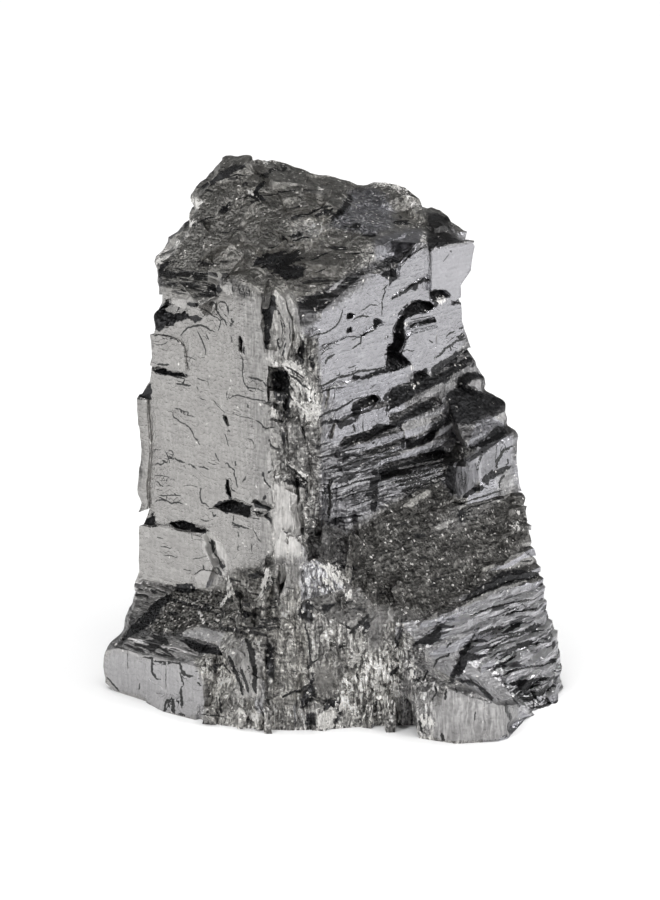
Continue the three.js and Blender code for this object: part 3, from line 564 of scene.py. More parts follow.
# Cracks of the top and the left-hand side, one a line: the width in millimetres, then the corners.
LEFT_CRACKS = """
Folds of the top
0.55 262,268 272,264 284,258 296,252
0.5 270,273 282,267 295,261 306,257
0.4 284,281 296,273 308,268
0.4 292,241 300,237 310,238
0.3 268,248 278,245
0.4 292,219 304,214 318,209 332,206
0.24 238,199 250,197 262,200
0.2 196,224 208,217 214,216
0.2 222,232 238,230 246,232
0.3 264,196 280,193 296,191
0.24 218,180 232,176 246,175
0.3 344,226 356,228
0.24 310,260 320,256 330,252
0.2 316,274 326,268
The left-hand face
0.3 209,541 212,545 213,551 217,556 220,560
0.3 269,440 271,446 275,449 281,449
0.3 240,670 242,674 245,682 248,689 249,692
0.4 219,697 221,706 222,713
0.3 181,336 184,331 188,328 195,326 200,325 206,327 210,330 215,332
0.3 158,335 166,335.5 174,337
0.24 170,339 172,340
0.2 152,336 157,335.5
0.16 153,345 158,345 164,344 168,341
0.36 156,364.5 169,365
0.3 174,376.5 185,379
0.36 176,383.5 191,385.5
0.2 200,308 206,310 213,316 218,318 221,322 219,328 218,332
0.26 212,301 216,305 216,310 220,316 225,321 227,326
0.3 219,301 226,303
0.24 227,305 229,314
0.3 232,318 231,327
0.2 231,324 235,321
0.18 197,330 201,338 204,345 206,351 205,356
0.18 206,334 209,340
0.22 240,355 243,360 243,366 242,375 244,382 246,386 250,388 257,388.5 260,390 264,392
0.14 246,388 250,391 257,392
0.36 248,377 252,378 257,379 263,381
0.26 263,382 265,385 268,387 273,387.5
0.22 226,400 229,399 233,396 238,395 245,397 252,399 260,400 268,402 272,404
0.14 226,398 227,391
0.2 231,335 232,343
0.14 184,356 192,358 197,361
0.14 186,361 190,370
0.18 197,378 201,380 206,381
0.12 208,378 208,387
0.18 196,386 199,391
0.16 199,397 203,400 206,400
0.2 170,411 173,413 173,417 177,419 180,422 185,424 190,428 193,434 194,437 198,441 200,446
0.16 174,409 178,408 183,411 189,412
0.16 178,411 186,415 192,416 195,418
0.4 223,416 225,420 228,426
0.26 228,430 230,432
0.12 212,398 217,405 223,411 227,414
0.14 225,433 227,440 229,447
0.24 248,404 248,408
0.24 255,420 260,423 264,427 269,428 275,428
0.14 232,413 240,416 248,418 255,420
0.14 262,405 262,410
0.12 233,409 240,412
0.16 247,438 252,440 254,445
0.2 270,440 271,447 276,450
0.14 151,453 152,449 156,450 159,450
0.16 163,450 166,455 168,460 170,464
0.16 167,450 172,451 174,456
0.32 168,456 175,459 180,461 185,463
0.24 161,460 165,462 170,463
0.24 153,466 155,463 159,465 165,462
0.22 186,464 192,466 197,469
0.16 188,464 195,466
0.24 199,467 204,467 209,470
0.14 208,462 213,464 217,465
0.22 215,453 217,457 219,462
0.24 225,464 227,463 230,467 233,469
0.3 235,461 236,466
0.2 234,468 234,474 236,479 237,484 238,489
0.22 242,482 245,479 246,476
0.24 264,478 265,481 268,485 271,488
0.24 268,474 271,470
0.16 153,476 160,475 166,477 170,477
0.12 160,480 168,481
0.2 155,481 158,482 161,486 164,487
0.12 165,486 173,486
0.12 182,486 190,485 198,487
0.22 158,495 165,496 172,495 181,495.5
0.26 155,502 158,500 163,500 168,501 171,504 175,502 181,503 184,504
0.22 201,487 200,492 200,498 202,503 206,504 209,507
0.3 201,487 201,490
0.5 228,480 226.5,486 229,493 231,501
0.24 212,512 214,517 216,514
0.2 200,519 204,521 209,521
0.3 252,511 260,513 264,514
0.2 252,518 260,519
0.24 210,538 212,541 212,546 214,552 218,557 221,562
0.32 213,540 215,545 215,549 213,552
0.4 217,567 220,571 222,576
0.12 192,532 192,541
0.12 193,540 205,540
0.3 232,523 237,525 243,527 249,529
0.14 232,527 240,528
0.2 234,515 233,521
0.14 238,531 239,538
0.14 238,544 238,552
0.16 251,543 252,553
0.14 253,528 256,535 261,543
0.2 160,546 166,547 171,549
0.14 157,537 164,539
0.14 192,559 200,558 208,556
0.14 183,569 192,571
0.14 163,555 172,556 178,558
0.24 203,564 204,570
0.2 194,575 198,572 202,570
0.16 202,570 213,571 220,576
On the foot at the lower left
0.36 143,657 152,658 152,672 157,679 161,679
0.36 153,661 166,662 180,663 182,668
0.2 161,665 172,663
0.5 180,665 182,670 185,675 190,676 193,676
0.26 180,672 181,677 183,683 183,686
0.44 181,687 181,695 182,702 182,708
0.4 167,699 165,707 164,712
0.2 169,698 169,708
0.6 172,698 173,706 174,714
0.6 179,714 184,716 187,720
0.26 107,677 113,684 120,692
0.2 140,683 139,690
0.12 128,650 128,670
0.12 166,665 166,690
0.24 197,682 201,686
0.2 195,672 198,671
0.2 201,714 215,715 225,717
On the leaves beside it
0.5 228,655 232,663 236,674 240,685 243,696
0.4 240,667 245,679 249,690
0.8 247,638 249,646 252,655 254,670 256,692
0.3 222,662 226,668 231,674
Up the broken front edge
0.3 290,374.5 297,380 302,385 310,390
0.3 286,366 295,373 304,379
0.24 283,372 289,384 294,391
0.3 278,338 277.6,344 280,350
0.2 281,320 283,330 282,342
0.2 289,320 291,332 290,344
0.7 284,481 293,482 306,488
0.4 286,464 298,474 308,483
0.5 329.8,492 331,509
0.3 305,622 307,630 309,640 310,655 310,665 308,670
0.5 307,669 312,663 318,660
0.4 310,685 300,690 290,693 283,697
0.2 232,286 233,293
0.22 238,286 240,294
0.22 243,287 245,298
0.2 249,289 250,296
"""

# Cracks of the right-hand face and of what lies under it.
RIGHT_CRACKS = """
Between the stripes low on the right-hand face
0.3 382,470 412,463 444,457
0.24 384,474.5 414,468 445,461.5
0.3 386,478.5 416,472 446,465
0.24 390,483 420,476.5 447,470
0.3 396,486.5 422,481 447,475
0.24 402,489.5 424,485 446,480
0.3 322,470 350,463 380,456
0.24 326,480 352,474 376,468
0.3 330,490 356,482 380,477
0.2 318,458 340,452 366,447
0.3 336,500 360,492 384,486
0.24 350,507 372,499 396,492
Across the right-hand face
0.3 460,504 475,499 490,494 503,490
0.26 466,509 480,504 495,500 503,497
0.5 516,446 510,449 506,451 504,456 500,461 499,468
0.12 484,451 483,456 480,462 478,470 477,474
0.2 512,458 512,463 509,465
0.36 374,330 367,333 361,336
0.24 361,336 361,343 357,345 352,349
0.18 352,340 361,336.5
0.28 353,320 358,317 363,316 370,317
0.26 309,338 315,335 321,334 327,332 335,327 339,322 341,317 343,309
0.14 320,347 325,344 333,343 340,345
0.14 319,352 324,347 331,345
0.16 320,356 326,350 333,348
0.36 325,364 327,359 331,356 335,354
0.2 348,368 352,367 356,365
0.2 384,288 385,292 383,297 382,302 382,307 382,316
0.2 361,311 366,308 370,305 375,305 378,306
0.16 382,290 388,284
0.16 395,268 402,266 405,262
0.4 385,339 388,336
0.2 400,353 407,350 412,351 415,350
0.4 318,388 330,382 340,377 350,375 360,371 370,370 377,369 385,367
0.2 340,372 340,379
0.3 318,393 326,390 335,388 345,387
0.18 335,386 335,392 334,400
0.14 371,388 376,384
0.24 438,245 439,249
0.4 450,251 451,252
0.14 443,262 449,254
0.2 429,340 433,343
0.18 410,320 420,318 433,315.5
0.28 446,337 450,333 455,331
0.34 459,329 463,327
0.4 434,358 440,355 445,349 450,346 456,341 462,340 466,338
0.28 450,346 451,351
0.36 319,419 324,414 331,411 337,410 343,406 350,402 357,398 362,397
0.3 353,424 355,432
0.2 363,420 363,432
0.26 365,441 375,437 385,434 395,432 399,435
0.36 362,452 375,449 388,446 400,443
0.4 383,454 395,452 402,449
0.6 330,480 329,488 331,495 330,505 329,512 330,518
0.3 395,478 405,476 415,475 425,472 435,469
0.26 398,474 412,470 425,466 437,462
0.26 400,484 412,481 422,477 437,473
0.36 400,492 410,489 420,484 432,480
0.32 402,498 410,494 420,489 432,487
0.14 500,443 499,452 498,460
0.14 483,447 481,455 478,463 476,470
0.4 499,467 499,461 503,457 506,451 510,449 515,446
0.22 511,459 512,463
0.34 500,488 500,483 503,478 507,475
0.14 459,472 459,494
0.14 462,471 463,490
0.14 466,474 466,487
About the needles at the foot
0.6 350,633 356,627 362,621 368,615
0.5 391,677 395,672 399,666
0.4 356,673 358,680
0.5 395,638 398,645 396,648
0.4 345,624 350,629
0.4 428,669 426,675 423,681
0.34 435,685 436,692 433,700
On the leaves and the lump at the lower right
0.34 434,667 437,660 442,657 448,656 450,652
0.24 447,648 449,644 452,642
0.4 446,689 445,700
0.24 455,687 456,693
0.6 506,702 507,712 511,720
0.5 512,722 511,733
0.5 441,733 444,742
0.4 419,720 422,732
0.24 476,712 474,720
Along the layers at the lower right
0.4 462,601 480,594 500,586 525,580
0.3 470,616 490,608 515,602 540,598
0.34 500,616 520,611 545,606
0.5 478,635 490,629 505,627
0.3 482,642 500,636 520,632 545,630
0.36 480,650 495,646 508,638 525,634
0.3 490,658 505,650 522,646 545,642
0.44 495,668 505,662 516,655
0.3 500,676 515,670 530,667 556,662
0.5 520,700 530,695 545,688 556,684
0.4 527,705 535,701 545,697
0.3 515,697 525,690 540,684
0.3 528,572 540,574
0.3 520,561 533,560
0.3 524,546 534,547
"""

# Rims of painted shade, one a line: the corners. The treads and pockets inside them get a near-black colour
# for their shade, with a dip in the relief and rougher, more tilted grains.
PAINTED_SHADE_RIMS = """
In the folds of the top
270,263 284,255 297,249 304,253 294,260 288,266 298,265 307,270 297,279 284,279 273,271
286,236 296,231 306,229 300,235 292,239
On the left-hand face
153,330 155,318 160,308 165,302 171,299 172,304 167,305 167,310 170,313 180,313 187,310 186,313 190,316
    197,315 202,319 200,322 195,323 188,318 184,319 181,322 176,321 174,325 165,327 161,331
186,304 190,302 199,303 199,306 192,308
153,371 158,368 165,369 172,372 180,372 187,374 188,377 180,376 172,376 165,375 158,374
138,396 151,383 152,400
239,335 243,338 243,343 246,350 245,356 242,352 241,342
261,469 264,473 265,480 262,476
142,524 154,512 157,527
168,523 176,521 185,521 192,523 198,528 205,529 206,534 195,533 188,531 180,530 172,526
209,509 214,506 218,502 226,500 233,500 240,501 246,504 251,506 251,515 248,518 241,515 232,512 226,513
    220,510 214,507
252,504 257,501 262,504 270,507 271,511 262,508 255,507
262,499 266,495 267,499
263,515 268,513 271,520 272,524 266,519
219,559 224,563 225,567 223,571 221,566
Along the broken front edge
271,371 280,369 288,368 290,380 290,391 283,393 276,391 272,389 273,380
302,337 305,337 305,347 304,356 303,366 299,362 297,357 298,349 301,343
309,358 314,352 316,360 315,368 309,366
281,432 286,432 285,442 281,448 280,440
286,481 297,482 303,486 296,487 287,484
272,294 276,296 276,306 273,318 270,336 268,349 265,349 265,335 264,318 261,312 262,307 268,309 270,300
275,309 279,312 284,320 286,330 286,342 284,352 281,360 280,358 283,350 285,341 284.5,330 282,320 278,313
274,386 281,383 283,377 290,388 292,400 290,412 285,420 283,410 280,402 276,402 274,396
305,490 308,490 308,503 306,503
317,369 320,369 319,377 318,387 316,385
On the right-hand face
462,497 473,487 482,486 492,489 490,492 480,493 470,497 458,501
380,275 386,271 394,268 397,274 397,280 392,282 391,286 389,286 389,281 384,277
346,315 350,313 356,314 352,318 348,319
347,331 350,328 352,326 352,332 348,332
373,320 379,320 384,323 380,324 377,326 376,329 373,331 374,325
390,300 397,295 402,292 407,288 411,284 417,283 420,282 416,286 410,289 404,294 396,298
410,289 416,285 419,284 417,289 413,291
417,281 423,278 428,279 431,282 423,283 418,284
400,311 405,305 412,301 420,300 428,301 433,304 433,309 425,312 415,315 408,318 404,320 404,329 405,332
    407,335 404,341 402,347 399,352 403,356 410,362 406,366 398,370 390,372 386,372 385,362 385,348
    391,345 392,340 395,331 396,324 398,317
409,327 412,324 420,321 430,319 436,318.5 436,322 426,323.5 416,325 410,329
352,377 356,375 362,377 370,373 378,370 385,368 386,373 376,374 370,378 362,380 353,380
427,238 440,236 455,238 466,240 462,242 445,244 440,247 434,247 430,252 428,246
430,293 434,290 444,289 446,293 452,296 447,298 441,297 438,300 440,303 437,306 433,308 434,303 431,299
453,301 457,303 461,300 461,305 457,304 453,306
457,336 463,333 465,336 461,340 458,339
431,369 436,364 443,360 450,357 455,352 462,350 467,348 470,352 463,353 457,358 455,364 450,365 444,368
    436,373 431,376
461,361 464,357 470,356 473,359 467,364
413,385 412,374 420,371 425,368 427,370 430,376 436,375 445,371 452,366 460,362 468,365 474,363 476,367
    468,367 460,371 453,375 450,380 445,384 436,386 425,389 418,393 408,399 398,406 388,412 386,417
    386,402 382,399 388,392 391,387 400,386
456,387 457,379 463,374 470,372 477,372 483,376 485,383 480,377 474,379 468,383 464,387
352,412 353,406 358,402 365,399 372,395 378,395 383,400 380,402 372,402 366,405 362,407 361,413 358,418
    354,420
318,424 325,421 332,419 340,420 350,419 357,420 352,424 345,427 341,430 337,424 328,423 320,427
338,446 346,440 354,434 362,432 370,432 372,427 378,424 388,424 398,420 404,414 412,409 420,404 428,399
    433,401 432,408 425,413 415,417 406,421 397,427 388,430 378,434 368,437 355,440 345,445
316,446 319,443 322,446 320,450 317,449
401,437 405,437 409,440 416,440 424,436 430,430 433,424 440,420 448,416 452,421 443,427 436,432 434,439
    425,443 415,447 405,449 401,447
342,457 345,454 352,453 360,454 363,457 358,458 352,456 347,458 342,462
348,478 352,475 354,477 350,481
371,471 378,469 386,468 392,467 400,464 410,461 420,456 430,450 440,446 446,450 440,458 425,463 415,466
    405,470 395,475 390,478 384,478 378,480 378,486 375,492 370,492 369,480 372,476
372,490 378,488 378,500 376,512 371,512 371,500
331,519 338,517 342,521 338,525 332,524
482,478 490,472 498,469 508,466 515,465 512,470 503,474 495,478 490,480 488,486 482,480
447,392 458,388 470,388 484,392 500,399 502,405 492,411 480,417 468,424 455,423 449,412
470,448 478,442 488,436 497,425 508,428 513,432 498,440 486,446
445,470 450,462 456,466 455,480 456,494 452,497 446,484
On the slope and the foot at the lower left
227,655 231,655 234,663 236,670 240,678 242,686 243,693 241,690 238,682 234,672 230,663
246,639 250,641 254,648 256,653 255,662 256,672 256,686 254,684 253,672 252,662 249,652 247,647
169,593 172,598 170,603 163,606 160,613 156,620 150,625 140,632 128,637 122,640 118,638 126,628 135,622
    146,613 150,606 158,600
176,584 190,583 195,586 197,592 185,593 175,590
185,639 200,643 215,647 226,652 220,656 208,653 196,652 188,646
204,668 207,672 208,683 205,678
213,664 217,660 219,664 216,670 215,676 212,668
265,640 272,645 274,660 275,682 266,676 264,660
About the broken foot
297,611 303,604 309,600 314,605 314,620 309,624 304,620 299,617
321,607 325,604 334,604 330,609 326,612
309,673 313,672 315,690 316,697 309,705 303,709 299,707 301,697 305,690 309,686
336,646 341,643 345,648 338,650
362,624 369,617 370,627 365,636 361,633 364,628
400,622 403,618 403,628 400,632
416,679 420,677 420,682 413,683
322,700 330,698 336,701 340,703 335,706 331,709 324,711 321,706
336,709 341,708 341,715 338,722 335,726 333,722 336,716
360,712 362,712 362,727 360,724
375,704 378,700 377,712 376,722 374,714
304,713 317,712 315,725 305,725
At the lower right
412,650 414,643 425,637 435,630 440,622 441,635 438,641 428,645 418,645
474,633 476,636 470,645 468,652 480,655 495,650 486,657 478,660 468,660 463,672 460,676 455,676 454,683
    447,685 449,680 453,670 458,662 459,655 462,650 468,643
460,682 463,679 472,680 480,685 487,690 494,698 492,701 484,695 478,687 468,683
457,510 461,505 465,512 462,524 458,520
500,572 520,569 538,573 540,578 525,579 508,583 490,589 475,596 464,600 470,592 485,584
500,634 508,627 515,622 524,620 520,626 510,632
527,628 537,622 543,624 535,630 525,632
515,645 525,641 535,640 528,646 520,648
490,668 500,663 512,657 505,664 495,669
504,684 520,680 545,677 560,675 559,679 540,682 515,686
510,692 520,685 535,682 530,688 515,694
On top
200,190 205,183 212,178 220,170 230,167 244,165 245,167 236,171 228,177 215,183 208,186 203,190
255,190 258,183 262,180 268,182 265,186 260,190 262,195 268,200 266,202 258,202 252,198 248,197 252,194
217,212 222,206 230,202 232,205 226,212 220,214
253,262 258,256 266,253 275,252 283,252 285,258 283,265 276,270 268,268 260,265 254,264
284,268 290,270 300,270 306,275 300,278 285,279 280,276
279,233 284,236 290,240 287,242 281,238
290,245 295,243 288,250 283,252
158,270 163,265 170,257 172,262 165,268 161,275
315,214 325,210 335,208 330,213 318,216
392,222 398,220 410,221 412,224 400,226 393,225
361,235 370,232 378,235 372,238 363,237
350,227 356,222 362,225 358,230 350,229
402,253 410,247 415,247 412,253 410,259 404,257
342,206 349,193 354,197 350,206 343,214 333,222 328,222 334,215
212,284 222,285 224,291 214,292 205,290
"""

# Rims of light patches. Their shading is turned to face the floor and they are made half diffuse, and a
# lighter colour paints in part of the floor's reflection.
PAINTED_REFLECTION_RIMS = """
Stripes low on the right-hand face
398,468 444,458.4 444,460 398,469.8
392,479.5 446,467 446,468.6 392,481.4
400,487 446,477 446,478.6 400,488.8
330,474.6 372,464.4 372,466 330,477
334,485.2 376,475 376,476.6 334,487.5
On the left-hand face
171,301 178,299 186,300 186,308 180,311 172,312 168,308
278,403 281,402 284,411 279,412
271,411 276,417 271,419 270,412
144,531 150,533 149,538 143,536
161,526 169,523 168,531 162,530
202,570 213,571 220,576 217,585 211,590 201,590 196,584 194,577
On the right-hand face
472,470 474,462 481,455 482,478 480,481 474,484
325,294 330,288 340,280 345,276 346,278 338,285 329,294
304,294 312,291 317,288 317,291 308,295
372,260 373,250 384,243 392,242 392,248 385,254 376,259
399,246 410,242 408,246 402,250
429,254 434,248 440,248 447,245 463,243 468,245 474,248 472,265 467,277 461,284 458,300 452,296 446,294
    443,290 436,289 431,285 429,270
437,299 441,297 446,300 442,304 438,303
400,411 403,409 410,405 418,399 427,392 434,388 436,390 433,396 430,399 424,402 420,400 413,404 404,410
435,386 443,382 443,387 436,391
447,389 448,382 454,380 456,385 452,389
466,386 472,381 480,379 484,384 484,390 478,391 474,386
401,426 410,420 420,418 428,414 436,411 443,408 445,404 447,408 443,413 437,416 431,418 430,424 428,430
    420,434 412,438 403,436
435,438 436,433 443,428 452,423 454,424 448,430 440,436
400,452 410,449 420,446 428,443 436,441 437,443 430,448 422,450 412,455 402,459
471,427 480,423 490,419 500,414 505,411 506,419 505,424 497,421 492,419 484,423 474,428
467,443 473,438 480,434 486,432 485,435 476,440 468,445
493,482 499,476 507,474 514,468 515,480 513,487 510,495 504,498 500,492 497,486
470,485 480,481 480,483 471,486
484,487 487,488 486,490 484,490
488,486 491,487 490,489 488,489
470,495 480,491 492,487 499,489 500,495 490,498 478,501 470,503 462,507 459,512 458,507 464,502
403,505 410,500 418,496 426,491 432,490 430,494 422,499 416,505 410,508 404,508
434,528 442,522 452,519 456,520 450,524 440,530
441,504 448,501 452,501 446,504
410,470 425,465 440,459 440,461 426,467 412,471
403,476 420,473 435,469 446,465 446,467 435,472 418,476 405,478
403,483 415,479 430,475 443,470 443,473 430,479 415,484 404,487
At the lower left
467,459 474,452 479,447 481,448 475,455 468,461
453,466 457,461 460,456 461,459 457,463 455,467
184,631 195,626 205,628 218,632 232,634 240,640 246,640 249,650 235,648 222,646 212,643 200,640 190,637
    182,636
240,578 250,585 247,589 242,585
250,602 262,602 270,604 262,607 252,609
229,652 238,645 246,641 249,652 251,662 252,672 254,688 247,690 241,681 235,668 231,658
257,652 262,658 264,668 266,682 264,690 257,688 257,668
216,684 232,684 240,690 242,698 230,697 218,692
230,705 238,703 246,707 254,713 266,719 272,721 270,724 256,722 244,717 232,712
Up the broken front edge and about its foot
267,429 279,428 281,446 277,449 271,446
268,449 277,450 278,462 275,470 268,474
286,366 297,364 302,370 310,371 314,382 318,392 319,402 312,399 304,393 297,385 290,376
302,556 306,556 309,562 307,572 304,566
278,302 290,313 294,327 294,338 292,348 289,358 286,356 288,344 289.5,331 288,322 284.5,314.5 277.6,306
277,316 280.4,318.5 283,325 283,338 279,347 278,338 279.5,330 279,322
307.6,370 315,370 316,375 314,383 309.7,383
281,605 286,597 293,590 300,590 305,597 301,606 296,612 289,611 284,610
331,660 337,652 345,650 350,655 347,670 344,680 340,683 335,672
350,620 360,618 352,630 345,624
388,605 392,610 394,625 390,640 384,648 383,640 386,625
310,708 320,700 324,706 321,712 316,711
341,718 345,712 357,711 359,718 360,728 341,729
378,712 388,708 389,719 380,720
At the lower right
410,640 412,632 420,625 430,617 437,612 438,620 433,628 423,634 415,640
425,650 440,641 448,633 455,625 470,622 477,620 474,632 468,640 461,647 457,655 454,665 450,675 447,683
    440,680 428,672 425,662
462,676 466,668 468,662 475,668 488,668 495,678 505,688 512,697 505,700 494,698 485,688 478,682 470,678
461,607 468,602 480,596 490,591 505,585 525,578 526,582 510,588 500,592 503,596 490,600 478,602 470,607
    464,611
463,613 475,609 492,603 495,606 480,611 468,615
498,568 505,561 512,554 525,551 533,556 534,562 515,567 505,569
480,569 495,564 496,567 482,572
522,543 534,540 534,546 522,547
520,652 530,650 533,665 522,662
530,706 545,701 555,696 560,690 558,700 548,709 535,710
480,622 500,616 520,612 540,610 541,613 520,616 500,621 482,627
500,648 515,642 516,645 502,652
On top
388,242 396,237 404,234 412,232.5 404,236 397,239
183,232 190,233 185,238
157,262 160,255 168,247 176,238 178,241 172,248 164,258 158,266
272,184 285,182 298,182 298,186 285,188 273,189
243,174 250,172 252,174 244,176
246,263 250,265 258,268 267,272 266,275 257,271 249,268
217,272 222,275 219,283
220,282 232,283 233,294 228,295 220,288
412,212 418,205 421,200 424,206 422,210 414,216 410,217
395,199 400,200 399,204 396,203
464,240 474,242 474,250 470,246
304,240 308,244 310,250 307,252 304,246
"""

# Rims of painted glints: facets that get a near-white colour, with their shading turned to face the floor.
PAINTED_GLINT_RIMS = """
On the dome at the back of the top
370,188 380,186 390,187 386,189 376,190
390,189 398,190 404,194 398,195
406,196 412,199 417,205 412,206 406,201
At the lower left
214,678 222,677 230,678 228,682 216,682
203,667 207,666 212,674 214,680 209,677
200,613 203,618 204,623 201,620
216,619 219,619 218,622
219,604 224,599 232,589 234,592 226,600 220,606
228,577 232,584 229,590 226,588
262,578 268,574 270,580 263,586 263,596 260,596
206,659 210,662 208,665
238,708 250,711 262,717 258,721 246,717 236,712
Up the broken front edge
299,404 310,402 320,404 319,414 316,424 306,422 302,412
281,362 289,361 297,364 301,371 306,374 302,378 296,374 290,372 285,370
288,378 295,381 301,388 300,394 295,389 291,384
305,386 309.7,386 317,391 318,400 312,398 306,391
278.7,401.3 282.4,401.3 285.5,411.3 280.3,411.8
270.8,410.3 275,410.3 277.6,418.7 270.3,418.2
294.5,397 298.2,401 298.2,405 290.3,407
282.4,416 286,417 286.6,423 283,422
300,404 320,404 320,406 301,407
303,410 319,411 318,414 304,413
305,417 317,418 316,422 306,421
286.5,461 298,470 309,479 306,481 296,473 286,464
309,493 311.4,505 309,504
303,535 308,535 306,539
264,566 268,572 270,584 266,578
About the broken foot
320,566 324,565 334,573 343,583 341,586 331,577
328,566 334,567 346,578 344,580
322,575 330,582 336,590 333,590 326,584
350,660 353,652 357,650 361,657 360,661 353,663
411,657 413,658 413,675 415,678 409,679 411,670
317,725 319,718 322,713 330,710 333,708 335,717 333,722 334,729 322,729
346,594 351,592 352,598 347,600
363,675 366,668 367,676 364,684
373,683 376,676 378,682 375,690
382,680 385,688 383,695 380,690
393,690 396,684 397,693 394,701
356,690 358,697 355,700
420,716 424,716 426,725 422,726
428,717 432,717 434,726 430,726
335,704 343,707 347,710 340,709
On the right-hand side
437,299 443,297 445,300 441,304
405,323 407,323 407,326
410.5,365 412.4,365 412,368
412.5,384 414.8,384 414,388
442,504 447,502 452,500 449,503
514,525 519,522 520,525 516,528
516,512 519,512 518,515
On top
380,185 384,186 392,190 395,193 388,193 381,190
422,236 424,234 425,238 422,239
421,241 425,240 425,242 422,243
155,262 160,256 170,254 164,260 157,264
170,240 174,238 178,240 172,243
192,199 198,200 203,202 197,208 194,206
185,220 190,221 198,223 190,227 187,225
372,189 376,187 385,189 392,192 386,192 380,189
399,183 403,185 407,189 402,188
263,166 267,164 269,166 266,168
272,165 278,165 277,167
281,165 287,166 284,168
246,191 252,191 253,194 248,193
318,188 323,188 320,190
"""
